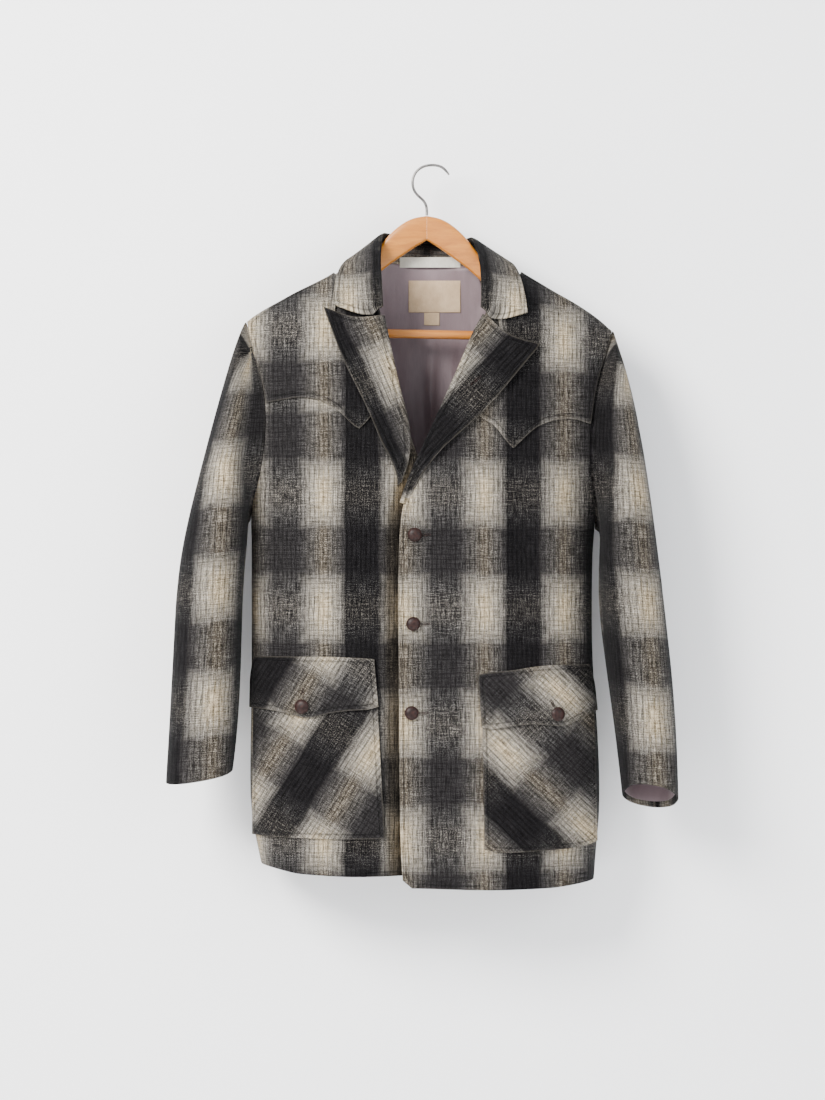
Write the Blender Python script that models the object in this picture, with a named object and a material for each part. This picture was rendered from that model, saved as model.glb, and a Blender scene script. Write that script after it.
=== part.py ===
# A wool plaid coat on a wooden hanger, made from rings and sections.
#
# Millimetres in the tables, metres in the meshes. X runs to the wearer's left, Z runs up,
# and the coat's front faces -Y. The origin is the top of the hook's inside, where a rail
# carries it. "left" and "right" are the wearer's: left is +X.
import math

import bpy
import numpy as np

MM = 0.001

# Cloth and gaps
WALL = 3.0  # wool, with the facing behind it
YOKE_WALL = 2.2
COLLAR_WALL = 3.4  # two layers
LAPEL_WALL = 3.2
POCKET_WALL = 2.2
SLEEVE_WALL = 2.6
LINING_WALL = 1.0
RIBBON_WALL = 1.0
SEAM = 0.3  # between neighbouring pieces
LAY = 0.8  # under a piece that lies on another

# The body's middle and the roof over the hanger
MID_X = -7.8
ROOF_DEPTH = 72.0  # from the shoulder seam down to the full depth of the body
ARM_REACH = 215.0  # from the middle to the end of a hanger arm
ARM_SWEEP = -24.0  # how far the arm's end comes forward
OVERLAP_DROP = 3.7  # the right front goes down under the left one by this

SIDES = {"right": -1.0, "left": 1.0}


def table(columns, *lines):
    """A short table: a dictionary with one array for each named column."""
    names = columns.split()
    values = np.array(lines, float)
    return {name: values[:, i] for i, name in enumerate(names)}


def smooth(knots, values, places):
    """Values between the knots on a curve that doesn't overshoot them."""
    knots = np.asarray(knots, float)
    values = np.asarray(values, float)
    if knots[0] > knots[-1]:
        knots = knots[::-1]
        values = values[::-1]
    x = np.clip(np.asarray(places, float), knots[0], knots[-1])
    step = np.diff(knots)
    slope = np.diff(values) / step
    before = slope[:-1]
    after = slope[1:]
    total = before + after
    same = before * after > 0
    mean = np.where(same, 2 * before * after / np.where(total == 0, 1, total), 0)
    tangent = np.concatenate([slope[:1], mean, slope[-1:]])
    i = np.clip(np.searchsorted(knots, x, side="right") - 1, 0, len(step) - 1)
    t = (x - knots[i]) / step[i]
    a = values[i] * (1 + 2 * t) * (1 - t) ** 2
    b = tangent[i] * step[i] * t * (1 - t) ** 2
    c = values[i + 1] * t * t * (3 - 2 * t)
    d = tangent[i + 1] * step[i] * t * t * (t - 1)
    return a + b + c + d


def along(rows, column, places):
    """A column of a table at places from 0 (first row) to 1 (last row)."""
    values = rows[column]
    return smooth(np.linspace(0, 1, len(values)), values, places)


def ease(value, start, end):
    """0 at start, 1 at end, soft in between."""
    t = np.clip((value - start) / (end - start), 0, 1)
    return t * t * (3 - 2 * t)


# The body at each height: how far it reaches to the right and the left of its middle,
# how far forward and back, where the side seam lies, and how square each half is.
BODY = table(
    "z right left front back side front_square back_square",
    (-80.6, -254.8, 244.4, -48, 30, 2, 2.4, 4.0),
    (-128.7, -254.8, 244.4, -66, 31, 4, 2.4, 4.0),
    (-178.1, -254.8, 244.4, -80, 33, 6, 2.4, 4.0),
    (-243.1, -252.2, 241.8, -90, 35, 8, 2.5, 4.0),
    (-288.6, -247.0, 235.3, -95, 36, 8, 2.6, 4.0),
    (-327.6, -244.4, 232.7, -98, 36, 8, 2.6, 4.0),
    (-373.1, -244.4, 231.4, -100, 36, 8, 2.7, 4.0),
    (-418.6, -243.1, 226.2, -101, 36, 8, 2.8, 4.0),
    (-453.7, -237.9, 218.4, -102, 36, 8, 2.9, 4.0),
    (-477.1, -236.6, 213.2, -102, 36, 8, 3.0, 4.0),
    (-516.1, -236.6, 210.6, -103, 36, 8, 3.0, 4.0),
    (-594.1, -236.6, 210.0, -104, 36, 9, 3.0, 4.0),
    (-646.1, -236.6, 210.6, -105, 36, 10, 3.1, 4.0),
    (-711.1, -237.2, 215.8, -106, 36, 10, 3.2, 4.0),
    (-776.1, -238.6, 219.7, -106, 36, 10, 3.2, 4.0),
    (-834.6, -238.6, 221.0, -105, 36, 9, 3.1, 4.0),
    (-877.5, -231.4, 217.1, -103, 35, 8, 3.0, 4.0),
    (-912.6, -224.2, 214.5, -101, 34, 8, 2.8, 4.0),
    (-947.7, -215.8, 211.9, -99, 33, 8, 2.6, 4.0),
)

# The top line of the coat: shoulder seams, and the neck seam at the back between them
TOP = table(
    "x z rise",
    (-241.3, -205.3, 0.0),
    (-222.7, -194.0, 0.0),
    (-197.1, -180.2, 0.0),
    (-174.2, -167.7, 0.0),
    (-148.3, -155.1, 0.0),
    (-132.6, -146.9, 0.0),
    (-118.3, -137.2, 0.0),
    (-106.6, -128.1, 0.0),
    (-97.5, -122.2, 0.0),
    (-85.8, -121.5, 7.0),
    (-72.8, -123.5, 17.5),
    (-54.6, -126.1, 24.0),
    (-28.6, -128.1, 26.0),
    (-2.6, -128.7, 26.0),
    (23.4, -129.3, 26.6),
    (49.4, -128.7, 25.0),
    (67.6, -127.4, 18.5),
    (80.6, -125.8, 8.0),
    (92.3, -126.1, 0.0),
    (102.7, -133.0, 0.0),
    (117.0, -143.0, 0.0),
    (134.9, -153.8, 0.0),
    (157.3, -167.3, 0.0),
    (182.3, -181.3, 0.0),
    (197.2, -190.5, 0.0),
    (219.6, -205.9, 0.0),
    (234.5, -217.1, 0.0),
)

# The inner edge of each front: the front edge, then the roll line of the lapel, then the
# neck seam up to the shoulder
INNER_LEFT = table(
    "x z",
    (-26.0, -938.6),
    (-37.1, -930.8),
    (-40.3, -908.7),
    (-41.0, -860.6),
    (-42.2, -802.1),
    (-42.9, -743.6),
    (-42.9, -685.1),
    (-43.6, -626.6),
    (-44.2, -568.1),
    (-43.6, -516.1),
    (-41.9, -477.1),
    (-39.3, -449.8),
    (-33.8, -431.6),
    (-26.0, -409.5),
    (-18.2, -393.9),
    (-9.1, -371.8),
    (3.9, -347.1),
    (22.1, -302.9),
    (40.3, -262.6),
    (54.1, -232.7),
    (65.8, -210.6),
    (71.0, -189.8),
    (76.0, -170.3),
    (78.7, -152.1),
    (83.2, -139.1),
    (92.3, -128.1),
)
INNER_RIGHT = table(
    "x z",
    (-7.8, -918.5),
    (-6.5, -906.1),
    (-6.5, -880.1),
    (-6.5, -841.1),
    (-6.5, -789.1),
    (-6.5, -737.1),
    (-6.5, -685.1),
    (-6.5, -633.1),
    (-6.5, -581.1),
    (-6.5, -535.6),
    (-6.5, -496.6),
    (-6.5, -464.1),
    (-6.5, -438.1),
    (-9.1, -412.1),
    (-15.6, -391.3),
    (-23.4, -369.2),
    (-33.8, -340.6),
    (-45.1, -305.5),
    (-52.6, -266.5),
    (-60.5, -227.5),
    (-65.7, -201.5),
    (-70.2, -180.7),
    (-76.7, -162.5),
    (-83.2, -146.9),
    (-89.7, -133.9),
    (-97.5, -124.2),
)
# The outer edge of each front by height: the side seam below, the armhole above
OUTER_HEIGHTS = table(
    "left right",
    (-932.8, -912.0),
    (-908.7, -887.9),
    (-882.7, -864.5),
    (-847.6, -828.1),
    (-795.6, -778.7),
    (-741.0, -726.7),
    (-685.1, -674.7),
    (-633.1, -622.7),
    (-583.7, -573.3),
    (-542.1, -529.1),
    (-505.7, -492.7),
    (-473.2, -461.5),
)
ARMHOLE_LEFT = table(
    "front_x front_z back_x back_z",
    (214.5, -451.1, 215.8, -453.7),
    (208.7, -427.7, 212.6, -430.3),
    (205.4, -403.0, 210.0, -404.3),
    (204.8, -377.0, 208.7, -375.7),
    (205.4, -349.7, 208.7, -347.1),
    (208.0, -321.1, 210.0, -318.5),
    (212.6, -292.5, 213.2, -289.9),
    (219.1, -265.2, 219.1, -262.6),
    (226.8, -240.5, 226.8, -239.2),
    (234.5, -217.1, 234.5, -217.1),
)
ARMHOLE_RIGHT = table(
    "front_x front_z back_x back_z",
    (-234.0, -440.7, -235.3, -442.0),
    (-226.8, -419.9, -232.1, -421.2),
    (-221.0, -393.9, -228.8, -395.2),
    (-217.1, -366.6, -226.2, -366.6),
    (-215.4, -339.3, -225.2, -338.0),
    (-216.1, -310.7, -225.6, -309.4),
    (-221.0, -282.1, -227.5, -280.8),
    (-228.2, -253.5, -231.4, -253.5),
    (-235.3, -227.5, -236.6, -227.5),
    (-241.3, -205.3, -241.3, -205.3),
)
# The hem's bow between the front edge and the side seam, from 0 to 1, in millimetres
HEM = table(
    "place left right",
    (0.0, 0.0, 0.0),
    (0.1, -0.9, -3.6),
    (0.3, -3.8, -7.0),
    (0.5, -5.6, -8.8),
    (0.75, -5.6, -8.2),
    (0.9, -2.6, -3.2),
    (1.0, 0.0, 0.0),
)

# Large soft folds in the body. Depth is inward; each runs from its top to its foot.
FOLDS = table(
    "side top_x top_z foot_x foot_z width depth",
    (-1, -104.0, -334.1, -62.4, -656.5, 15.0, 9.0),
    (-1, -148.2, -490.1, -132.6, -656.5, 15.0, 3.5),
    (-1, -202.8, -301.6, -215.8, -633.1, 11.0, 7.0),
    (1, 98.8, -360.1, 141.7, -661.7, 16.0, 9.0),
    (1, 29.9, -438.1, 49.4, -685.1, 15.0, 3.0),
    (1, 196.3, -308.1, 198.9, -620.1, 11.0, 7.0),
)
BACK_FOLDS = table(
    "top_x top_z foot_x foot_z width depth",
    (-104.0, -217.1, -122.2, -906.1, 22.0, 6.0),
    (94.9, -217.1, 114.4, -906.1, 24.0, 7.0),
    (-5.2, -334.1, 0.0, -958.1, 26.0, 4.0),
)


def arm_y(x):
    """The line of the hanger's arms seen from above: the ends come forward."""
    return ARM_SWEEP * (np.abs(np.asarray(x, float) - MID_X) / ARM_REACH) ** 1.6


def half_width(side, z):
    column = "left" if side > 0 else "right"
    return np.abs(smooth(BODY["z"], BODY[column], z) - MID_X)


def body(column, z):
    return smooth(BODY["z"], BODY[column], z)


def top_z(x):
    return smooth(TOP["x"], TOP["z"], x)


def fold_depth(rows, x, z, side=None):
    total = np.zeros(np.shape(x))
    for i in range(len(rows["depth"])):
        if side is not None and rows["side"][i] * side < 0:
            continue
        top = rows["top_z"][i]
        foot = rows["foot_z"][i]
        run = np.clip((top - z) / (top - foot), 0, 1)
        middle = rows["top_x"][i] + (rows["foot_x"][i] - rows["top_x"][i]) * run
        across = np.exp(-(((x - middle) / rows["width"][i]) ** 2))
        total = total + rows["depth"][i] * across * np.sin(math.pi * run)
    return total


def roof(x, z):
    """0 on the shoulder seam, 1 where the body has its full depth."""
    down = np.clip((top_z(x) - z) / ROOF_DEPTH, 0, 1)
    return np.sqrt(np.clip(1 - (1 - down) ** 2, 0, 1))


def front_y(side, x, z):
    """The outer face of a front."""
    x = np.asarray(x, float)
    z = np.asarray(z, float)
    out = np.clip(np.abs(x - MID_X) / half_width(side, z), 0, 1)
    square = body("front_square", z)
    bulge = np.clip(1 - out**square, 0, 1) ** (1 / square)
    seam = body("side", z) - SEAM / 2
    y = seam + (body("front", z) - seam) * bulge
    y = y + fold_depth(FOLDS, x, z, side) * bulge
    if side < 0:
        y = y + OVERLAP_DROP * ease(x, -65.0, -46.8) * ease(z, -223.6, -308.1)
    ridge = arm_y(x) - SEAM / 2
    return ridge + (y - ridge) * roof(x, z)


def back_y(x, z):
    """The outer face of the back."""
    x = np.asarray(x, float)
    z = np.asarray(z, float)
    half = np.where(x > MID_X, half_width(1, z), half_width(-1, z))
    out = np.clip(np.abs(x - MID_X) / half, 0, 1)
    square = body("back_square", z)
    bulge = np.clip(1 - out**square, 0, 1) ** (1 / square)
    seam = body("side", z) + SEAM / 2
    y = seam + (body("back", z) - seam) * bulge
    y = y - fold_depth(BACK_FOLDS, x, z) * bulge
    ridge = arm_y(x) + smooth(TOP["x"], TOP["rise"], x) + SEAM / 2
    return ridge + (y - ridge) * roof(x, z)


def normals(points, around=False, flip=1.0):
    """Unit normals of a grid of points from its neighbours."""
    if around:
        wide = np.concatenate([points[:, -1:], points, points[:, :1]], axis=1)
        across = (wide[:, 2:] - wide[:, :-2]) / 2
    else:
        across = np.gradient(points, axis=1)
    down = np.gradient(points, axis=0)
    normal = np.cross(across, down) * flip
    size = np.linalg.norm(normal, axis=2, keepdims=True)
    return normal / np.maximum(size, 1e-9)


def pulled(outer, inner, edges, by=SEAM / 2):
    """Both faces' edge columns or rows moved towards the piece's middle, for a seam."""
    outer = outer.copy()
    inner = inner.copy()
    for axis, end in edges:
        line = [slice(None)] * 2
        next_line = [slice(None)] * 2
        line[axis] = 0 if end == 0 else -1
        next_line[axis] = 1 if end == 0 else -2
        line = tuple(line)
        next_line = tuple(next_line)
        way = outer[next_line] - outer[line]
        way = way / np.maximum(np.linalg.norm(way, axis=-1, keepdims=True), 1e-9)
        outer[line] = outer[line] + way * by
        inner[line] = inner[line] + way * by
    return outer, inner


def material(name, color, roughness, metallic=0.0):
    made = bpy.data.materials.get(name)
    if made is None:
        made = bpy.data.materials.new(name)
        made.use_nodes = True
        shader = made.node_tree.nodes["Principled BSDF"]
        shader.inputs["Base Color"].default_value = (*color, 1.0)
        shader.inputs["Roughness"].default_value = roughness
        shader.inputs["Metallic"].default_value = metallic
        made.diffuse_color = (*color, 1.0)
    return made


def build(name, points, faces, slot):
    """A closed body from points in millimetres, with its faces turned outward."""
    points = np.asarray(points, float) * MM
    volume = 0.0
    for face in faces:
        for i in range(1, len(face) - 1):
            a, b, c = points[face[0]], points[face[i]], points[face[i + 1]]
            volume += float(np.dot(a, np.cross(b, c)))
    if volume < 0:
        faces = [face[::-1] for face in faces]
    mesh = bpy.data.meshes.new(name)
    mesh.from_pydata([tuple(p) for p in points], [], faces)
    mesh.update()
    thing = bpy.data.objects.new(name, mesh)
    thing.data.materials.append(slot)
    bpy.context.collection.objects.link(thing)
    print(f"{name}: {len(points)} points, {len(faces)} faces, {abs(volume) / 6 * 1e6:.1f} cm3")
    return thing


def triangles(a, b, c, d):
    """The quad a b c d as two triangles."""
    return [(a, b, c), (a, c, d)]


def slab(name, outer, inner, slot, around=False):
    """A closed body between two grids of points, with a rim on every free edge."""
    rows, columns = outer.shape[:2]
    count = rows * columns
    points = np.concatenate([outer.reshape(-1, 3), inner.reshape(-1, 3)])
    faces = []
    last = columns if around else columns - 1
    for i in range(rows - 1):
        for j in range(last):
            k = (j + 1) % columns
            a, b = i * columns + j, i * columns + k
            c, d = (i + 1) * columns + k, (i + 1) * columns + j
            faces += triangles(a, b, c, d)
            faces += triangles(d + count, c + count, b + count, a + count)
    for j in range(last):
        k = (j + 1) % columns
        faces += triangles(j, j + count, k + count, k)
        a, b = (rows - 1) * columns + j, (rows - 1) * columns + k
        faces += triangles(a, b, b + count, a + count)
    if not around:
        for i in range(rows - 1):
            a, d = i * columns, (i + 1) * columns
            faces += triangles(a, d, d + count, a + count)
            a, d = a + columns - 1, d + columns - 1
            faces += triangles(a, a + count, d + count, d)
    return build(name, points, faces, slot)


def shell(name, outer, wall, slot, normal=None, edges=(), around=False, flip=1.0):
    """A sheet of cloth: its outer face given, its inner face a wall behind it."""
    if normal is None:
        normal = normals(outer, around, flip)
    inner = outer - normal * wall
    outer, inner = pulled(outer, inner, edges)
    return slab(name, outer, inner, slot, around)


# The body: each row of a front runs from its inner edge to its outer edge, and the rows
# go from the hem up to the shoulder seam.
FRONT_COLUMNS = 17
HEM_ROWS = 12
ARMHOLE_ROWS = 10
FRONT_ROWS = HEM_ROWS + ARMHOLE_ROWS


def outer_edge(side, face):
    """The outer edge of a front or of half the back: (x, z) from the hem to the tip."""
    name = "left" if side > 0 else "right"
    low = OUTER_HEIGHTS[name]
    low_x = MID_X + side * half_width(side, low)
    hole = ARMHOLE_LEFT if side > 0 else ARMHOLE_RIGHT
    x = np.concatenate([low_x, hole[face + "_x"]])
    z = np.concatenate([low, hole[face + "_z"]])
    return x, z


def front_grid(side, columns=FRONT_COLUMNS, rows=FRONT_ROWS):
    """(x, z) of a front's grid, with its hem and shoulder lines bowed as they are."""
    inner = INNER_LEFT if side > 0 else INNER_RIGHT
    out_x, out_z = outer_edge(side, "front")
    place = np.linspace(0, 1, rows)
    x0 = along(inner, "x", place)[:, None]
    z0 = along(inner, "z", place)[:, None]
    if rows == FRONT_ROWS:
        x1, z1 = out_x[:, None], out_z[:, None]
    else:
        knots = np.linspace(0, 1, FRONT_ROWS)
        x1 = smooth(knots, out_x, place)[:, None]
        z1 = smooth(knots, out_z, place)[:, None]
    start = np.arcsin(np.clip((x0 - MID_X) * side / half_width(side, z0), -1, 1))
    end = np.arcsin(np.clip((x1 - MID_X) * side / half_width(side, z1), -1, 1))
    across = np.linspace(0, 1, columns)[None, :]
    angle = start + (end - start) * across
    z = z0 + (z1 - z0) * across
    v = place[:, None]
    column = "left" if side > 0 else "right"
    for _ in range(4):
        x = MID_X + side * half_width(side, z) * np.sin(angle)
        part = np.clip((x - x0) / (x1 - x0), 0, 1)
        straight = z0 + (z1 - z0) * part
        hem = smooth(HEM["place"], HEM[column], part)
        shoulder = top_z(x) - (z0[-1] + (z1[-1] - z0[-1]) * part)
        z = straight + hem * np.clip(1 - v * 5, 0, 1) ** 1.5 + shoulder * ease(v, 0.72, 1)
    return x, z


def front_points(side, columns=FRONT_COLUMNS, rows=FRONT_ROWS):
    x, z = front_grid(side, columns, rows)
    return np.stack([x, front_y(side, x, z), z], axis=2)


def squared(normal, rows, columns):
    """Normals laid into the seam's plane along a shoulder row or a side seam column."""
    for line in rows + columns:
        flat = normal[line]
        flat[:, 1] = 0
        normal[line] = flat / np.linalg.norm(flat, axis=1, keepdims=True)
    return normal


def front_normals(side, points):
    seam = (slice(0, HEM_ROWS), -1)
    return squared(normals(points, flip=side), [(-1, slice(None))], [seam])


BACK_COLUMNS = 19


def back_points(columns=BACK_COLUMNS, rows=FRONT_ROWS):
    """The back, from the right side to the left one, and from the hem up."""
    place = np.linspace(0, 1, rows)
    right_x, right_z = outer_edge(-1, "back")
    left_x, left_z = outer_edge(1, "back")
    if rows != FRONT_ROWS:
        knots = np.linspace(0, 1, FRONT_ROWS)
        right_x, right_z, left_x, left_z = (
            smooth(knots, line, place) for line in (right_x, right_z, left_x, left_z)
        )
    x0, z0 = right_x[:, None], right_z[:, None]
    x1, z1 = left_x[:, None], left_z[:, None]
    start = -np.arcsin(np.clip((MID_X - x0) / half_width(-1, z0), -1, 1))
    end = np.arcsin(np.clip((x1 - MID_X) / half_width(1, z1), -1, 1))
    across = np.linspace(0, 1, columns)[None, :]
    angle = start + (end - start) * across
    z = z0 + (z1 - z0) * across
    v = place[:, None]
    for _ in range(4):
        half = np.where(angle > 0, half_width(1, z), half_width(-1, z))
        x = MID_X + half * np.sin(angle)
        part = np.clip((x - x0) / (x1 - x0), 0, 1)
        straight = z0 + (z1 - z0) * part
        shoulder = top_z(x) - (z0[-1] + (z1[-1] - z0[-1]) * part)
        z = straight + shoulder * ease(v, 0.72, 1)
    return np.stack([x, back_y(x, z), z], axis=2)


def make_body(wool):
    made = {}
    for name, side in SIDES.items():
        points = front_points(side)
        normal = front_normals(side, points)
        made[name] = (points, normal)
        shell(f"front_{name}", points, WALL, wool, normal)
    points = back_points()
    normal = normals(points, flip=1.0)
    if normal[8, 9, 1] < 0:
        normal = -normal
    low = slice(0, HEM_ROWS)
    shoulders = [(-1, slice(0, 8)), (-1, slice(BACK_COLUMNS - 8, None))]
    normal = squared(normal, shoulders, [(low, 0), (low, -1)])
    made["back"] = (points, normal)
    shell("back", points, WALL, wool, normal)
    return made


# Each sleeve: rings from the armhole down to the cuff. A ring lies between its outer and
# its inner point and has a depth to the front and to the back; its tilt lowers the back.
SLEEVE_LEFT = table(
    "out_x out_z in_x in_z front back tilt square",
    (240.5, -227.5, 219.1, -481.0, -80, 31, 0, 2.2),
    (252.2, -263.9, 219.1, -491.4, -93, 33, 0, 2.2),
    (263.2, -308.1, 218.4, -503.1, -103, 35, 0, 2.2),
    (271.7, -352.3, 217.8, -517.4, -109, 36, 0, 2.2),
    (279.5, -399.1, 217.1, -535.6, -112, 36, 0, 2.2),
    (286.0, -445.9, 217.1, -557.7, -114, 36, 0, 2.2),
    (292.5, -492.7, 219.1, -585.0, -115, 35, -1, 2.2),
    (299.0, -548.6, 222.3, -622.7, -115, 34, -2, 2.2),
    (306.8, -613.6, 227.5, -665.6, -114, 30, -4, 2.2),
    (312.7, -674.7, 233.3, -708.5, -113, 20, -6, 2.2),
    (316.6, -731.9, 238.6, -750.1, -113, 8, -9, 2.2),
    (318.5, -783.9, 242.5, -786.5, -113, -6, -13, 2.2),
    (319.2, -826.8, 245.7, -816.4, -112, -18, -17, 2.2),
)
SLEEVE_RIGHT = table(
    "out_x out_z in_x in_z front back tilt square",
    (-250.2, -217.1, -239.8, -469.3, -80, 31, 0, 2.2),
    (-263.2, -256.1, -240.1, -478.4, -93, 33, 0, 2.2),
    (-276.9, -305.5, -240.5, -488.8, -103, 35, 0, 2.2),
    (-289.9, -353.6, -241.4, -501.8, -109, 36, 0, 2.2),
    (-302.9, -404.3, -242.7, -518.7, -112, 36, 0, 2.2),
    (-315.9, -456.3, -244.4, -542.1, -114, 36, 0, 2.2),
    (-327.6, -510.9, -246.2, -573.3, -115, 35, 0, 2.2),
    (-333.4, -565.5, -247.3, -614.9, -115, 34, 0, 2.2),
    (-336.1, -624.0, -248.3, -656.5, -114, 30, 0, 2.2),
    (-338.7, -672.1, -249.6, -692.9, -113, 22, 2, 2.2),
    (-340.6, -716.3, -251.6, -726.7, -112, 12, 3, 2.2),
    (-343.2, -763.1, -254.2, -759.2, -112, 0, 4, 2.2),
    (-345.2, -803.4, -257.7, -788.5, -111, -10, 5, 2.2),
)
# Large creases in the sleeves: around (0 outer, 0.25 front, 0.5 inner), from ring to
# ring, width around, depth
CREASES_LEFT = table(
    "around first last turn width depth",
    (0.20, 5.0, 12.6, 0.02, 0.055, 5.0),
    (0.36, 3.0, 9.0, 0.03, 0.05, 4.0),
    (0.80, 4.0, 10.5, 0.02, 0.06, 5.0),
)
CREASES_RIGHT = table(
    "around first last turn width depth",
    (0.145, 4.5, 11.0, 0.0, 0.05, 7.0),
    (0.36, 1.5, 7.0, 0.02, 0.05, 4.0),
    (0.80, 4.0, 10.5, -0.02, 0.06, 5.0),
)
SLEEVE_RINGS = 15
HEAD = 3.2  # how far the sleeve's head runs on in the body's line
FORE_SEAM = 8  # columns of the ring, counted from the tip over the front
HIND_SEAM = 18
CUFF_TURN = 0.2


def armhole_loop(made, name):
    """The rim of the body at the armhole, and the way out of the body at each point."""
    front, front_normal = made[name]
    back, back_normal = made["back"]
    first = HEM_ROWS - 1
    column = -1 if name == "left" else 0
    step = -2 if name == "left" else 1
    f = front[first:, -1]
    f_way = front[first:, -1] - front[first:, -2]
    b = back[first:, column]
    b_way = back[first:, column] - back[first:, step]
    f_way = f_way / np.linalg.norm(f_way, axis=1, keepdims=True)
    b_way = b_way / np.linalg.norm(b_way, axis=1, keepdims=True)
    f_n = front_normal[first:, -1]
    b_n = back_normal[first:, column]
    points = np.concatenate([f[::-1], b[1:-1]])
    ways = np.concatenate([f_way[::-1], b_way[1:-1]])
    normal = np.concatenate([f_n[::-1], b_n[1:-1]])
    run = np.roll(points, -1, axis=0) - np.roll(points, 1, axis=0)
    run = run / np.linalg.norm(run, axis=1, keepdims=True)
    ways = ways - run * np.sum(ways * run, axis=1, keepdims=True)
    ways = ways / np.linalg.norm(ways, axis=1, keepdims=True)
    tip_way = f_way[-1] + b_way[-1]
    tip_normal = f_n[-1] + b_n[-1]
    low_way = np.array([SIDES[name] * 0.45, 0.0, -1.0])
    low_normal = np.array([SIDES[name], 0.0, 0.0])
    low = len(f) - 1
    points[0] = (f[-1] + b[-1]) / 2
    points[low] = (f[0] + b[0]) / 2
    ways[0] = tip_way / np.linalg.norm(tip_way)
    ways[low] = low_way / np.linalg.norm(low_way)
    normal[0] = tip_normal / np.linalg.norm(tip_normal)
    normal[low] = low_normal
    return points, ways, normal


def ring_angles(loop):
    """Where each armhole point sits round the later rings, from 0 to 1."""
    closed = np.concatenate([loop, loop[:1]])
    steps = np.linalg.norm(np.diff(closed, axis=0), axis=1)
    low = ARMHOLE_ROWS
    front = np.concatenate([[0], np.cumsum(steps[:low])]) / steps[:low].sum() * 0.5
    back = np.cumsum(steps[low:])[:-1] / steps[low:].sum() * 0.5 + 0.5
    return np.concatenate([front, back])


def sleeve_rings(name, loop, ways, angles, rings=SLEEVE_RINGS):
    """The outer face of a sleeve: its first ring is the armhole's."""
    side = SIDES[name]
    rows = SLEEVE_LEFT if side > 0 else SLEEVE_RIGHT
    creases = CREASES_LEFT if side > 0 else CREASES_RIGHT
    grid = [loop + ways * 1.2, loop + ways * HEAD]
    count = len(rows["out_x"])
    for t in np.linspace(0, 1, rings - 1):
        value = {key: float(along(rows, key, t)) for key in rows}
        ring = 1 + t * (count - 1)
        out = np.array([value["out_x"], value["out_z"]])
        inn = np.array([value["in_x"], value["in_z"]])
        middle = (out + inn) / 2
        reach = (out - inn) / 2
        turn = angles * 2 * math.pi
        power = 2 / value["square"]
        c = np.sign(np.cos(turn)) * np.abs(np.cos(turn)) ** power
        s = np.sign(np.sin(turn)) * np.abs(np.sin(turn)) ** power
        middle_y = (value["front"] + value["back"]) / 2
        deep = (value["back"] - value["front"]) / 2
        shrink = np.zeros(len(angles))
        for k in range(len(creases["depth"])):
            run = (ring - creases["first"][k]) / (creases["last"][k] - creases["first"][k])
            if 0 < run < 1:
                at = creases["around"][k] + creases["turn"][k] * run
                gap = (angles - at + 0.5) % 1 - 0.5
                across = np.exp(-((gap / creases["width"][k]) ** 2))
                shrink += creases["depth"][k] * across * math.sin(math.pi * run)
        x = middle[0] + reach[0] * c
        z = middle[1] + reach[1] * c + value["tilt"] * s * -1.0 * -1.0
        y = middle_y - deep * s
        tilt = value["tilt"] * (y - middle_y) / deep
        z = middle[1] + reach[1] * c + tilt
        centre = np.array([middle[0], middle_y, middle[1]])
        points = np.stack([x, y, z], axis=1)
        away = points - centre
        size = np.linalg.norm(away, axis=1, keepdims=True)
        grid.append(points - away / size * shrink[:, None])
    return np.array(grid)


def make_sleeves(made, wool, satin):
    for name, side in SIDES.items():
        loop, ways, rim_normal = armhole_loop(made, name)
        angles = ring_angles(loop)
        outer = sleeve_rings(name, loop, ways, angles)
        normal = normals(outer, around=True, flip=side)
        for ring, share in ((0, 1.0), (1, 0.5)):
            alike = np.sum(rim_normal * normal[ring], axis=1, keepdims=True)
            share = share * np.clip((alike + 0.1) / 0.7, 0, 1)
            normal[ring] = rim_normal * share + normal[ring] * (1 - share)
            normal[ring] /= np.linalg.norm(normal[ring], axis=1, keepdims=True)
        normal[-1, :, 2] = 0
        normal[-1] /= np.linalg.norm(normal[-1], axis=1, keepdims=True)
        inner = outer - normal * SLEEVE_WALL
        count = outer.shape[1]
        top = [(HIND_SEAM + k) % count for k in range(count - HIND_SEAM + FORE_SEAM + 1)]
        under = list(range(FORE_SEAM, HIND_SEAM + 1))
        for piece, columns in (("top", top), ("under", under)):
            a, b = pulled(outer[:, columns], inner[:, columns], [(1, 0), (1, -1)])
            slab(f"{piece}_sleeve_{name}", a, b, wool)
        lined = outer[-4:] - normal[-4:] * (SLEEVE_WALL + 0.8)
        lined[-1] = lined[-1] + (lined[-2] - lined[-1]) * CUFF_TURN
        slab(f"cuff_lining_{name}", lined, lined - normal[-4:] * LINING_WALL, satin, True)


# Patches that lie on a front: yokes, pockets and flaps
def patch_grid(lower, upper, columns, rows):
    """(x, z) between a lower and an upper edge, both given as tables from the front edge
    out to the side."""
    across = np.linspace(0, 1, columns)
    up = np.linspace(0, 1, rows)[:, None]
    x = along(lower, "x", across) * (1 - up) + along(upper, "x", across) * up
    z = along(lower, "z", across) * (1 - up) + along(upper, "z", across) * up
    return x, z


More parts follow.
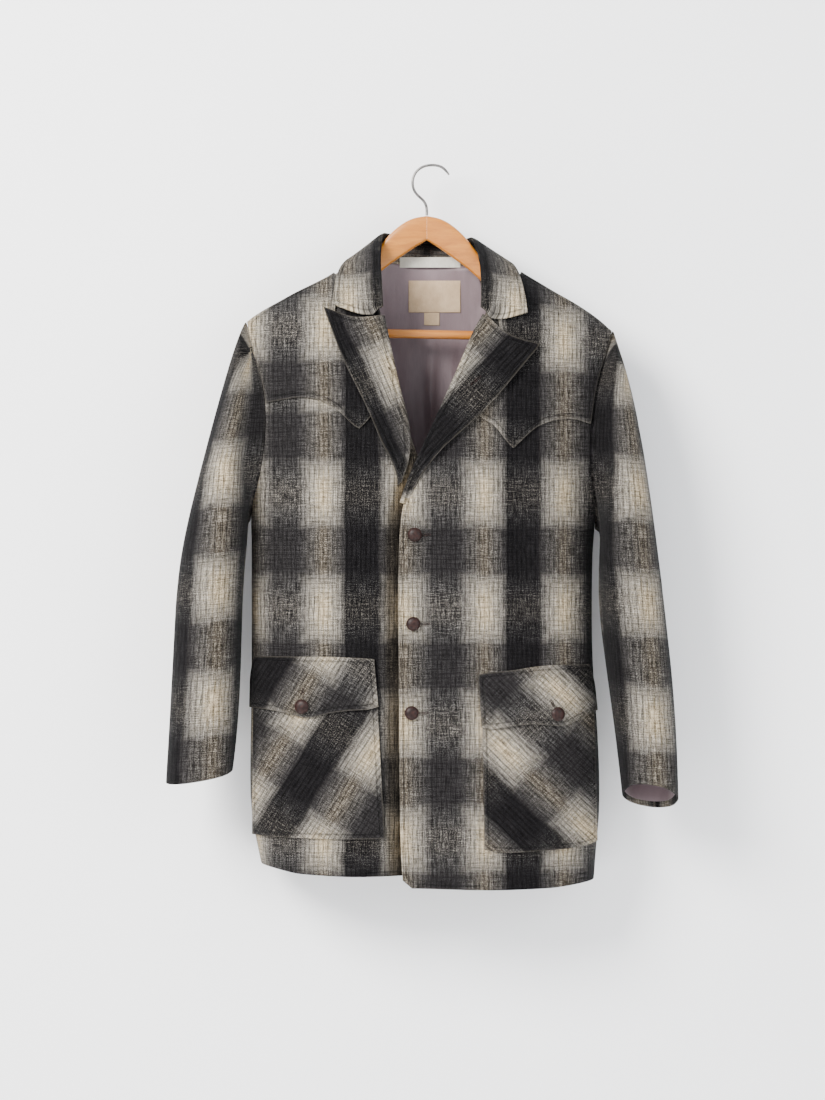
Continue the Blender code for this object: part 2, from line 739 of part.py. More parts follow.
YOKE_EDGE_LEFT = table(
    "x z",
    (54.6, -323.7),
    (62.4, -333.2),
    (70.2, -337.1),
    (78.7, -341.9),
    (87.1, -352.3),
    (95.5, -364.7),
    (103.4, -371.8),
    (111.8, -364.0),
    (120.9, -354.9),
    (131.3, -345.2),
    (143.0, -339.7),
    (154.7, -335.8),
    (166.4, -333.4),
    (178.1, -333.2),
    (189.8, -335.8),
    (202.2, -339.7),
)
YOKE_EDGE_RIGHT = table(
    "x z",
    (-71.5, -324.4),
    (-75.4, -328.2),
    (-80.0, -332.8),
    (-85.8, -339.9),
    (-93.6, -347.1),
    (-101.4, -342.6),
    (-109.2, -334.8),
    (-118.3, -325.0),
    (-130.0, -315.9),
    (-143.0, -310.4),
    (-156.0, -307.2),
    (-169.0, -305.8),
    (-182.0, -307.3),
    (-195.0, -309.4),
    (-205.4, -311.0),
    (-214.2, -312.0),
)
# The yoke's edge towards the neck, from its lower corner to the shoulder, hidden under
# the lapel and the collar
YOKE_NECK_LEFT = table(
    "x z",
    (54.6, -323.7), (70.2, -301.6), (88.4, -276.9), (98.8, -250.9), (88.4, -227.5), (85.2, -206.7),
    (98.8, -180.7), (106.6, -157.3), (114.4, -143.7),
)
YOKE_NECK_RIGHT = table(
    "x z",
    (-71.5, -324.4), (-80.0, -305.5), (-92.3, -280.8), (-107.2, -250.9), (-120.9, -222.3), (-126.1, -200.2),
    (-122.2, -178.1), (-118.3, -152.1), (-125.5, -144.3),
)


def yoke_points(side, columns=16, rows=9):
    edge = YOKE_EDGE_LEFT if side > 0 else YOKE_EDGE_RIGHT
    neck = YOKE_NECK_LEFT if side > 0 else YOKE_NECK_RIGHT
    hole = ARMHOLE_LEFT if side > 0 else ARMHOLE_RIGHT
    u = np.linspace(0, 1, columns)[None, :]
    v = np.linspace(0, 1, rows)[:, None]
    foot_x, foot_z = along(edge, "x", u), along(edge, "z", u)
    neck_x, neck_z = along(neck, "x", v), along(neck, "z", v)
    low = edge["z"][-1]
    hole_z = low + (hole["front_z"][-1] - 1.5 - low) * v
    hole_x = smooth(hole["front_z"], hole["front_x"], hole_z) - side * 1.5
    top_x = neck_x[-1] + (hole_x[-1] - neck_x[-1]) * u
    ridge_z = top_z(top_x) - 2.0
    x = (
        foot_x * (1 - v) + top_x * v + neck_x * (1 - u) + hole_x * u
        - (1 - u) * (1 - v) * foot_x[0, 0] - u * (1 - v) * foot_x[0, -1]
        - (1 - u) * v * top_x[0, 0] - u * v * top_x[0, -1]
    )
    z = (
        foot_z * (1 - v) + ridge_z * v + neck_z * (1 - u) + hole_z * u
        - (1 - u) * (1 - v) * foot_z[0, 0] - u * (1 - v) * foot_z[0, -1]
        - (1 - u) * v * ridge_z[0, 0] - u * v * ridge_z[0, -1]
    )
    z = np.minimum(z, top_z(x) - 1.2)
    return laid(side, x, z, LAY + YOKE_WALL + 1.7 * ease(v, 0.4, 0.9))


def moved_out(surface, x, z, off, out):
    """Points of a surface y(x, z) moved along its normal; out is -1 for a front."""
    step = 0.5
    y = surface(x, z)
    dx = (surface(x + step, z) - surface(x - step, z)) / (2 * step)
    dz = (surface(x, z + step) - surface(x, z - step)) / (2 * step)
    dx = np.clip(dx, -6, 6)
    dz = np.clip(dz, -6, 6)
    normal = np.stack([-dx, np.ones_like(dx), -dz], axis=-1) * out
    normal = normal / np.linalg.norm(normal, axis=-1, keepdims=True)
    off = np.broadcast_to(np.asarray(off, float), x.shape)
    return np.stack([x, y, z], axis=-1) + normal * off[..., None], normal


def laid(side, x, z, off):
    """Points of a front moved out along its normal."""
    return moved_out(lambda a, b: front_y(side, a, b), x, z, off, -1.0)


def make_yokes(wool):
    for name, side in SIDES.items():
        outer, normal = yoke_points(side)
        slab(f"yoke_{name}", outer, outer - normal * YOKE_WALL, wool)


POCKET_LEFT = (
    table("x z", (67.0, -887.9), (93.6, -892.8), (127.4, -890.9), (169.0, -888.6),
          (195.0, -885.6), (210.0, -880.1)),
    table("x z", (63.7, -705.9), (93.6, -705.9), (127.4, -704.6), (166.4, -700.7),
          (192.4, -696.8), (206.1, -694.2)),
)
POCKET_RIGHT = (
    table("x z", (-61.1, -874.2), (-97.5, -874.9), (-132.6, -874.5), (-171.6, -873.9),
          (-208.0, -873.0), (-228.8, -871.6)),
    table("x z", (-70.9, -687.7), (-97.5, -690.3), (-132.6, -691.6), (-171.6, -691.6),
          (-208.0, -690.3), (-228.2, -689.0)),
)
FLAP_LEFT = (
    table("x z", (62.8, -730.6), (75.4, -733.5), (88.4, -731.4), (104.9, -728.9),
          (126.1, -726.7), (148.2, -728.0), (166.4, -731.4), (179.4, -725.4), (192.4, -718.2), (208.0, -711.1)),
    table("x z", (58.5, -663.6), (70.2, -660.7), (83.2, -659.5), (104.9, -657.8),
          (126.1, -653.9), (147.9, -651.7), (166.4, -651.3), (179.4, -651.3), (191.1, -651.3), (201.5, -651.3)),
)
FLAP_RIGHT = (
    table("x z", (-68.9, -704.0), (-80.6, -708.5), (-97.5, -708.5), (-120.4, -710.7),
          (-143.0, -715.3), (-158.6, -720.6), (-176.8, -715.4), (-196.3, -710.6), (-213.2, -708.5), (-230.1, -707.2)),
    table("x z", (-74.5, -643.5), (-85.8, -642.2), (-104.0, -641.4), (-123.5, -640.9),
          (-143.0, -640.6), (-158.6, -640.5), (-176.8, -640.4), (-196.3, -640.2), (-213.2, -640.4),
          (-228.8, -641.6)),
)
FLAP_RISE = 22.0  # from the flap's top to where it lies on the pocket


def pocket_points(side, columns=9, rows=8):
    lower, upper = POCKET_LEFT if side > 0 else POCKET_RIGHT
    x, z = patch_grid(lower, upper, columns, rows)
    across = np.linspace(0, 1, columns)[None, :]
    up = np.linspace(0, 1, rows)[:, None]
    stand = 3.2 * across**3 * (1 - 0.5 * up)
    return laid(side, x, z, LAY + POCKET_WALL + stand)


def flap_points(side, columns=10, rows=6):
    lower, upper = FLAP_LEFT if side > 0 else FLAP_RIGHT
    x, z = patch_grid(lower, upper, columns, rows)
    across = np.linspace(0, 1, columns)[None, :]
    up = np.linspace(0, 1, rows)[:, None]
    over = SEAM + POCKET_WALL + 0.7 + 3.2 * across**3 * 0.55
    down = along(upper, "z", across) - z
    rise = ease(down, 0, FLAP_RISE)
    return laid(side, x, z, POCKET_WALL + LAY + 0.3 + over * rise)


def make_pockets(wool):
    for name, side in SIDES.items():
        outer, normal = pocket_points(side)
        slab(f"pocket_{name}", outer, outer - normal * POCKET_WALL, wool)
        outer, normal = flap_points(side)
        slab(f"flap_{name}", outer, outer - normal * POCKET_WALL, wool)


# The lapels: each row runs from the roll line over a middle point to the outer edge.
# Lift is how far the outer edge stands off the front.
LAPEL_LEFT = table(
    "roll_x roll_z mid_x mid_z edge_x edge_z lift rise wrap",
    (69.2, -200.2, 97.5, -226.6, 136.5, -238.6, 7.5, 0.6, 1),
    (66.6, -205.4, 94.4, -230.9, 132.0, -246.3, 7.5, 0.7, 1),
    (60.2, -215.8, 89.7, -239.8, 122.2, -257.4, 7.5, 0.9, 1),
    (52.8, -231.4, 79.3, -253.5, 111.2, -271.1, 7.0, 1.1, 1),
    (42.9, -256.1, 66.3, -276.9, 94.9, -291.2, 6.5, 1.2, 1),
    (29.9, -286.0, 50.7, -300.3, 77.4, -312.0, 6.0, 1.3, 1),
    (15.6, -318.5, 32.5, -326.3, 54.6, -335.4, 5.0, 1.4, 1),
    (1.3, -349.7, 14.3, -352.9, 29.9, -356.9, 4.0, 1.5, 1),
    (-9.1, -371.8, 0.0, -372.4, 10.4, -374.4, 3.0, 1.5, 1),
    (-17.8, -391.3, -12.3, -392.6, -5.9, -395.2, 2.0, 1.5, 1),
    (-26.0, -409.5, -22.8, -412.1, -18.9, -414.7, 1.2, 1.5, 1),
    (-33.1, -429.0, -30.6, -430.9, -27.3, -432.2, 0.6, 1.5, 1),
    (-37.7, -443.3, -35.8, -444.6, -33.8, -445.9, 0.3, 1.5, 1),
)
LAPEL_RIGHT = table(
    "roll_x roll_z mid_x mid_z edge_x edge_z lift rise wrap",
    (-66.0, -200.8, -97.5, -204.1, -137.8, -192.4, 5.0, 1.0, 1),
    (-64.6, -206.7, -96.2, -210.0, -133.9, -204.1, 5.0, 1.0, 1),
    (-62.5, -217.1, -92.3, -219.7, -128.7, -218.4, 4.8, 1.1, 1),
    (-58.6, -235.3, -85.2, -239.2, -121.5, -239.2, 4.6, 1.2, 1),
    (-53.7, -258.7, -78.7, -263.9, -111.2, -263.9, 4.4, 1.3, 1),
    (-48.5, -282.1, -70.2, -288.6, -98.8, -288.6, 4.2, 1.4, 1),
    (-41.6, -310.7, -60.5, -314.6, -85.8, -314.6, 3.8, 1.5, 1),
    (-33.8, -336.7, -50.1, -341.9, -72.8, -344.5, 3.0, 1.5, 0.85),
    (-29.9, -360.1, -42.9, -365.3, -63.1, -369.2, 2.4, 1.5, 0.3),
    (-29.9, -380.9, -39.0, -386.1, -53.3, -388.1, 1.6, 1.5, 0),
    (-35.8, -401.7, -39.6, -404.3, -45.5, -404.9, 0.8, 1.5, 0),
    (-40.3, -416.0, -42.2, -418.6, -44.5, -419.9, 0.4, 1.5, 0),
)
LAPEL_PLACES = np.array([0.05, 0.2, 0.4, 0.6, 0.8, 1.0])


def lapel_points(side, rows=15, places=LAPEL_PLACES, roll=True):
    rows_of = LAPEL_LEFT if side > 0 else LAPEL_RIGHT
    v = np.linspace(0, 1, rows)
    column = {key: along(rows_of, key, v) for key in rows_of}
    roll_xz = np.stack([column["roll_x"], column["roll_z"]], axis=1)
    run = np.gradient(roll_xz, axis=0)
    way = np.stack([run[:, 1], -run[:, 0]], axis=1) * side
    way = way / np.linalg.norm(way, axis=1, keepdims=True)
    if side * way[0, 0] > 0:
        way = -way
    outer = []
    for i in range(rows):
        line = []
        edge = front_y(side, column["roll_x"][i], column["roll_z"][i])
        wrap = column["wrap"][i]
        for out, deep, flat in ((3.7, WALL, 1.4), (4.5, WALL * 0.3, 1.0), (2.8, -2.5, 0.5)):
            x, z = roll_xz[i] + way[i] * (out * wrap + flat * (1 - wrap))
            deep = deep * wrap - (LAY + LAPEL_WALL) * (1 - wrap)
            line.append((x, float(edge) + deep, z))
        knots = (0.0, 0.5, 1.0)
        x = smooth(knots, [column[k][i] for k in ("roll_x", "mid_x", "edge_x")], places)
        z = smooth(knots, [column[k][i] for k in ("roll_z", "mid_z", "edge_z")], places)
        off = LAY + LAPEL_WALL + column["lift"][i] * places ** column["rise"][i]
        points, _ = laid(side, x, z, off)
        line += [tuple(p) for p in points]
        outer.append(line)
    return np.array(outer)


def make_lapels(wool):
    for name, side in SIDES.items():
        outer = lapel_points(side)
        normal = normals(outer)
        if normal[4, 6, 1] > 0:
            normal = -normal
        slab(f"lapel_{name}", outer, outer - normal * LAPEL_WALL, wool)


# The collar: each station has a seam point, a fold point and an edge point. The stand
# runs from the seam to the fold, and the fall from the fold to the edge.
COLLAR = table(
    "seam_x seam_z back fold_x fold_z fold_y edge_x edge_z edge_y sag",
    (-65.0, -182.0, 0, -63.1, -188.5, -84, -128.7, -185.2, -86, -11.0),
    (-71.5, -163.8, 0, -63.7, -172.9, -78, -127.4, -170.3, -81, -2.0),
    (-77.6, -148.2, 0, -65.0, -152.1, -68, -125.5, -153.4, -70, 0.0),
    (-84.1, -135.2, 0, -66.3, -131.3, -54, -122.2, -141.7, -52, 0.0),
    (-89.3, -127.4, 0, -66.3, -110.5, -36, -118.3, -131.3, -33, 0.0),
    (-93.0, -122.9, 0, -65.7, -94.2, -14, -110.5, -121.5, -10, 0.0),
    (-88.4, -121.5, 1, -63.1, -86.5, 4, -101.4, -115.7, 16, 0.0),
    (-76.7, -122.2, 1, -53.3, -86.5, 20, -88.4, -124.8, 38, 0.0),
    (-59.8, -124.8, 1, -37.7, -90.4, 27, -65.0, -136.5, 45, 0.0),
    (-35.1, -127.4, 1, -20.8, -93.0, 30, -36.4, -140.4, 46, 0.0),
    (-2.6, -128.1, 1, -1.3, -93.6, 31, -2.6, -141.7, 46, 0.0),
    (29.9, -128.7, 1, 19.5, -94.9, 30, 31.2, -143.0, 46, 0.0),
    (54.6, -128.1, 1, 35.1, -94.9, 27, 59.8, -140.4, 45, 0.0),
    (71.5, -126.1, 1, 45.5, -93.0, 20, 83.2, -130.0, 38, 0.0),
    (83.2, -125.5, 1, 52.0, -92.3, 4, 96.2, -120.9, 16, 0.0),
    (87.1, -126.8, 0, 55.9, -100.1, -14, 106.6, -127.4, -10, 0.0),
    (82.7, -133.2, 0, 59.8, -116.4, -36, 111.8, -137.8, -33, 0.0),
    (77.7, -141.7, 0, 62.4, -135.2, -54, 115.7, -150.8, -54.6, 0.0),
    (72.8, -154.7, 0, 63.1, -154.7, -68, 119.0, -166.4, -70, 0.0),
    (69.3, -171.6, 0, 63.1, -174.2, -78, 121.5, -182.0, -81, -3.0),
    (65.0, -184.6, 0, 62.4, -189.8, -84, 122.9, -195.9, -86, -12.5),
)
STAND_PLACES = (0.0, 0.35, 0.7)
FALL_PLACES = (0.14, 0.3, 0.52, 0.76, 1.0)
FOLD_RADIUS = 4.3


def section(seam, fold, edge, sag, clear):
    """One section of the collar, from its seam over the fold to its edge."""
    up = fold - (seam + edge) / 2
    up = up / np.linalg.norm(up)
    over = edge - seam
    over = over - up * np.dot(over, up)
    over = over / np.linalg.norm(over)
    stand_end = fold - up * FOLD_RADIUS - over * FOLD_RADIUS
    fall_start = fold - up * FOLD_RADIUS + over * FOLD_RADIUS
    points = [seam + (stand_end - seam) * t for t in STAND_PLACES]
    for angle in (0.0, 45.0, 90.0, 135.0, 180.0):
        a = math.radians(angle)
        centre = fold - up * FOLD_RADIUS
        points.append(centre + (up * math.sin(a) - over * math.cos(a)) * FOLD_RADIUS)
    for t in FALL_PLACES:
        p = fall_start + (edge - fall_start) * t
        p = p + np.array([0.0, 0.0, sag * math.sin(math.pi * t**0.55)])
        points.append(clear(p))
    return points


def over_front(p):
    """A point of the fall kept clear of the fronts, the yokes and the shoulder."""
    side = 1.0 if p[0] > MID_X else -1.0
    x, y, z = p
    need = COLLAR_WALL + YOKE_WALL + LAY + 2.2
    ridge = float(top_z(x))
    if z > ridge + need:
        return p
    face = float(front_y(side, x, min(z, ridge - 0.01)))
    back = float(back_y(x, min(z, ridge - 0.01)))
    middle = (face + back) / 2
    if y < middle:
        return np.array([x, min(y, face - need), z])
    return np.array([x, max(y, back + COLLAR_WALL + SEAM + 0.6), z])


def seam_point(x, z, back):
    """The stand's lower edge: inside the neck seam of a front, or on top of the back's."""
    side = 1.0 if x > MID_X else -1.0
    low = min(z, float(top_z(x)) - 0.01)
    point, _ = laid(side, np.array([x]), np.array([low]), -WALL)
    front = point[0]
    high = float(top_z(x))
    rear = np.array([x, float(back_y(x, high)) - WALL, high + 2 * SEAM])
    return front * (1 - back) + rear * back


def collar_points(stations=None):
    count = len(COLLAR["sag"])
    places = np.linspace(0, 1, stations or count)
    column = {key: along(COLLAR, key, places) for key in COLLAR}
    outer = []
    for i in range(len(places)):
        fold, edge = (
            np.array([column[f"{part}_{axis}"][i] for axis in "xyz"])
            for part in ("fold", "edge")
        )
        seam = seam_point(column["seam_x"][i], column["seam_z"][i], column["back"][i])
        outer.append(section(seam, fold, edge, column["sag"][i], over_front))
    return np.array(outer)


def make_collar(wool):
    outer = collar_points(27)
    normal = normals(outer)
    if normal[13, -1, 1] < 0:
        normal = -normal
    slab("collar", outer, outer - normal * COLLAR_WALL, wool)


# The lining, the ribbons and the label in the neck
LINING_GAP = 0.8
LINING_COLUMNS = slice(2, -2)
LINING_ROWS = slice(1, -1)
PLEAT_X = -3.9
PLEAT_DEPTH = 3.0


def pleat(x, z):
    """The lining's folds at its middle, from below the bar down."""
    first = PLEAT_DEPTH * np.exp(-(((x - PLEAT_X) / 8.0) ** 2)) * ease(-z, -217.1 * -1, -243.1 * -1)
    second = 1.6 * np.exp(-(((x - PLEAT_X - 20) / 7.0) ** 2)) * ease(-z, -223.6 * -1, -249.6 * -1)
    return first + second


def lining_points(made):
    points, normal = made["back"]
    points = points[LINING_ROWS, LINING_COLUMNS]
    normal = normal[LINING_ROWS, LINING_COLUMNS]
    off = WALL + LINING_GAP + pleat(points[:, :, 0], points[:, :, 2])
    return points - normal * off[..., None], normal


def make_lining(made, satin):
    behind, normal = lining_points(made)
    slab("lining_back", behind - normal * LINING_WALL, behind, satin)


def inside_back(x, z, off):
    """Points in front of the back's inner face."""
    return moved_out(back_y, x, z, -WALL - off, 1.0)[0]


RIBBONS = table(
    "left_x top_z right_x foot_z off",
    (-42.2, -117.7, 37.7, -131.3, 0.0),
    (-30.4, -148.2, 37.7, -189.8, 0.0),
    (-9.9, -190.3, 10.1, -206.7, 0.0),
)


LOOP_Y = 18.6  # the middle of the hanging loop stands off the neck seam
LOOP_BOW = 2.0  # its sewn ends go back to the seam by this much


def make_ribbons(cream):
    for i, name in enumerate(("hanging_loop", "label", "size_tab")):
        x = np.linspace(RIBBONS["left_x"][i], RIBBONS["right_x"][i], 9)[None, :]
        z = np.linspace(RIBBONS["foot_z"][i], RIBBONS["top_z"][i], 3)[:, None]
        x, z = np.broadcast_arrays(x, z)
        if name == "hanging_loop":
            to_end = np.abs((x - x.mean()) / (x.max() - x.min()) * 2)
            y = LOOP_Y + LOOP_BOW * to_end**3
        else:
            y = inside_back(x, z, LINING_GAP + LINING_WALL + 1.1)[:, :, 1] - pleat(x, z)
        behind = np.stack([x, y, z], axis=2)
        front = behind.copy()
        front[:, :, 1] -= RIBBON_WALL
        slab(name, front, behind, cream)


# Buttons: a low dome on a shank
BUTTONS = table(
    "side x z radius off",
    (1, -22.5, -483.5, 9.4, 0.0),
    (1, -24.3, -598.0, 9.4, 0.0),
    (1, -26.5, -712.4, 9.4, 0.0),
    (1, 158.3, -714.4, 9.6, 1.0),
    (-1, -165.1, -704.6, 9.8, 1.0),
)
BUTTON_NAMES = (
    "button_top", "button_middle", "button_bottom", "flap_button_left", "flap_button_right",
)
BUTTON_SECTION = table(
    "radius height",
    (0.26, 0.0),
    (0.26, 1.5),
    (0.90, 1.9),
    (1.0, 3.4),
    (0.82, 5.9),
    (0.42, 7.3),
)


def make_buttons(horn):
    around = 14
    for i, name in enumerate(BUTTON_NAMES):
        side = BUTTONS["side"][i]
        x, z = BUTTONS["x"][i], BUTTONS["z"][i]
        off = SEAM + 0.15
        if BUTTONS["off"][i]:
            across = (x - 62.4) / (208.0 - 62.4) if side > 0 else (-68.9 - x) / (-68.9 - -230.1)
            off += POCKET_WALL + LAY + SEAM + POCKET_WALL + 1.0 + 3.2 * across**3 * 0.55
        base, normal = laid(side, np.array([x]), np.array([z]), off)
        base, normal = base[0], normal[0]
        right = np.cross(normal, [0.0, 0.0, 1.0])
        right = right / np.linalg.norm(right)
        up = np.cross(right, normal)
        points = [base]
        rings = len(BUTTON_SECTION["radius"])
        for r, h in zip(BUTTON_SECTION["radius"], BUTTON_SECTION["height"]):
            for k in range(around):
                a = 2 * math.pi * k / around
                r_mm = r * BUTTONS["radius"][i]
                points.append(base + normal * h + (right * math.cos(a) + up * math.sin(a)) * r_mm)
        points.append(base + normal * 7.6)
        faces = []
        for k in range(around):
            n = (k + 1) % around
            faces.append((0, 1 + n, 1 + k))
            for ring in range(rings - 1):
                a, b = 1 + ring * around + k, 1 + ring * around + n
                faces += triangles(a, b, b + around, a + around)
            top = 1 + (rings - 1) * around
            faces.append((top + k, top + n, len(points) - 1))
        build(name, points, faces, horn)


# The hanger: two arms of a carved board, a bar and a hook
ARM = table(
    "reach top height thick",
    (0.3, -64.5, 33.0, 13.0),
    (16.0, -66.6, 40.5, 13.5),
    (28.0, -72.3, 43.5, 14.0),
    (38.0, -79.6, 43.5, 14.0),
    (48.0, -88.7, 41.0, 14.0),
    (57.0, -99.5, 37.5, 14.0),
    (70.0, -116.4, 32.5, 14.0),
    (86.0, -133.2, 30.0, 13.5),
    (104.0, -146.9, 31.0, 14.0),
    (122.0, -158.0, 31.5, 14.5),
    (150.0, -172.9, 32.5, 15.5),
    (176.0, -189.2, 33.5, 17.0),
    (200.0, -205.4, 32.0, 18.0),
    (214.0, -219.1, 20.0, 15.0),
)
HANGER_X = -6.5
HANG_TILT = 0.021  # the left arm hangs lower by this much for each unit of reach
ARM_LIFT = {"right": 4.6, "left": 10.2}  # the hidden part of each arm, up to the cloth


def make_hanger(wood, steel):
    for name, side in SIDES.items():
        outer = []
        for t in np.linspace(0, 1, 15):
            reach = float(along(ARM, "reach", t))
            top = float(along(ARM, "top", t)) - side * HANG_TILT * reach
            high = float(along(ARM, "height", t))
            thick = float(along(ARM, "thick", t))
            top += ARM_LIFT[name] * float(ease(reach, 90, 150))
            x = HANGER_X + side * reach
            y = float(arm_y(x))
            ring = []
            for k in range(12):
                a = 2 * math.pi * (k + 0.5) / 12
                c, s = math.cos(a), math.sin(a)
                c = math.copysign(abs(c) ** 0.55, c)
                s = math.copysign(abs(s) ** 0.55, s)
                ring.append((x, y + c * thick / 2, top - high / 2 + s * high / 2))
            outer.append(ring)
        tube(f"hanger_{name}", np.array(outer), wood)
    bar_left, bar_right = 173.6, -178.1
    bar_z, bar_y = -221.0, -13.5
    rings = []
    for x in np.linspace(bar_right, bar_left, 2):
        tilt = -HANG_TILT * (x - HANGER_X)
        rings.append([
            (x, bar_y + 6 * math.cos(a), bar_z + tilt + 6 * math.sin(a))
            for a in np.linspace(0, 2 * math.pi, 14, endpoint=False)
        ])
    tube("hanger_bar", np.array(rings), wood)
    tube("hanger_hook", hook_rings(), steel)


def tube(name, rings, slot):
    """A closed body from rings, with a flat fan on each end."""
    count, around = rings.shape[:2]
    points = np.concatenate([rings.reshape(-1, 3), [rings[0].mean(0)], [rings[-1].mean(0)]])
    faces = []
    for i in range(count - 1):
        for k in range(around):
            n = (k + 1) % around
            a, b = i * around + k, i * around + n
            faces += triangles(a, b, b + around, a + around)
    for k in range(around):
        n = (k + 1) % around
        faces.append((len(points) - 2, n, k))
        faces.append((len(points) - 1, (count - 1) * around + k, (count - 1) * around + n))
    return build(name, points, faces, slot)


HOOK = table(
    "x z",
    (22.8, -11.1),
    (16.9, -3.6),
    (9.8, 0.8),
    (0.0, 2.0),
    (-10.0, 0.5),
    (-18.2, -4.5),
    (-23.7, -12.1),
    (-25.5, -21.4),
    (-23.9, -29.9),
    (-19.5, -37.1),
    (-13.0, -42.6),
    (-8.3, -48.8),
    (-6.5, -55.9),
    (-6.5, -64.4),
)
HOOK_WIRE = 2.0


def hook_rings(steps=22, around=8):
    t = np.linspace(0, 1, steps)
    x, z = along(HOOK, "x", t), along(HOOK, "z", t)
    line = np.stack([x, np.zeros(steps), z], axis=1)
    way = np.gradient(line, axis=0)
    way = way / np.linalg.norm(way, axis=1, keepdims=True)
    side = np.array([0.0, 1.0, 0.0])
    rings = []
    for i in range(steps):
        up = np.cross(way[i], side)
        wire = HOOK_WIRE * (0.55 if i == 0 else 1.0)
        rings.append([
            line[i] + (side * math.cos(a) + up * math.sin(a)) * wire
            for a in np.linspace(0, 2 * math.pi, around, endpoint=False)
        ])
    return np.array(rings)


def make_coat():
    for thing in list(bpy.data.objects):
        bpy.data.objects.remove(thing)
    wool = material("plaid_wool", (0.30, 0.28, 0.26), 0.95)
    satin = material("mauve_satin", (0.30, 0.25, 0.27), 0.45)
    cream = material("cream_ribbon", (0.78, 0.72, 0.60), 0.7)
    horn = material("dark_leather", (0.045, 0.032, 0.030), 0.45)
    wood = material("beech", (0.72, 0.47, 0.24), 0.4)
    steel = material("hook_steel", (0.62, 0.61, 0.60), 0.25, 1.0)
    made = make_body(wool)
    make_sleeves(made, wool, satin)
    make_yokes(wool)
    make_pockets(wool)
    make_lapels(wool)
    make_collar(wool)
    make_lining(made, satin)
    make_ribbons(cream)
    make_buttons(horn)
    make_hanger(wood, steel)


make_coat()
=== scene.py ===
# %% [markdown]
# # A wool coat on a wooden hanger
# This lesson dresses the solids of a hip-length plaid coat: brushed wool, satin lining, ribbon,
# buttons, varnished wood and wire. The solids give every piece's place and size. Each step
# says what the real thing is, how it could be made in Blender and why it is made this way.

# %%
import math

import bmesh
import bpy
import numpy as np
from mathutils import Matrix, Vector
from mathutils.bvhtree import BVHTree
from mathutils.kdtree import KDTree


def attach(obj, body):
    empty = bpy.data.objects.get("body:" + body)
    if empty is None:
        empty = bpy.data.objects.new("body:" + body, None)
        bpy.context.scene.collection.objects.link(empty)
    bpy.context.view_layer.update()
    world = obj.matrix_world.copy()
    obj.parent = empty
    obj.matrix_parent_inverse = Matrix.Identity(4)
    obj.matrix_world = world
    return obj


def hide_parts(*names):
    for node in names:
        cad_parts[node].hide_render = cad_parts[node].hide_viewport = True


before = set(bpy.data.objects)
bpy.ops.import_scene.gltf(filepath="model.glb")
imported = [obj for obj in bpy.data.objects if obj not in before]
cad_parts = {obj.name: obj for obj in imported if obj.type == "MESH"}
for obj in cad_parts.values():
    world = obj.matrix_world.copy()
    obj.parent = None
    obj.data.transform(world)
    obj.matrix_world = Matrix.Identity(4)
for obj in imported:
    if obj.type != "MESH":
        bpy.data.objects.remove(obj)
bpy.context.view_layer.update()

# %% [markdown]
# ## Measures
# All lengths are in metres. Heights count down from the hook's bend, which is the origin, and
# x is towards the wearer's left. Numbers could stand where they are used, but a real pattern
# has a sheet of measures, so the tables here name their columns, with a row for each piece,
# crease or stitch. WALLS holds how thick each kind of piece is, in millimetres.

# %%
MM = 0.001
MID_X = -0.0078  # the coat's middle; it hangs a little towards the wearer's right
WALLS = {
    "front": 3.0, "back": 3.0, "yoke": 2.2, "collar": 3.4, "lapel": 3.2, "pocket": 2.2,
    "flap": 2.2, "top": 2.6, "under": 2.6, "lining": 1.0, "cuff": 1.0,
}


def table(columns, *lines):
    """Named columns of numbers from rows of text or numbers."""
    names = columns.split()
    return {name: np.array([line[i] for line in lines]) for i, name in enumerate(names)}


def ease(value, start, end):
    """0 before start, 1 after end, and a soft rise between them."""
    t = np.clip((np.asarray(value, float) - start) / (end - start), 0, 1)
    return t * t * (3 - 2 * t)


# %% [markdown]
# ## Shader networks
# Every finish is a network of nodes. It could be drawn by hand in the editor, but written out
# it can be read and changed, so a small helper adds and links the nodes, and each effect is a
# few lines of arithmetic. An effect that several materials share is a node group with named
# sockets, made once.

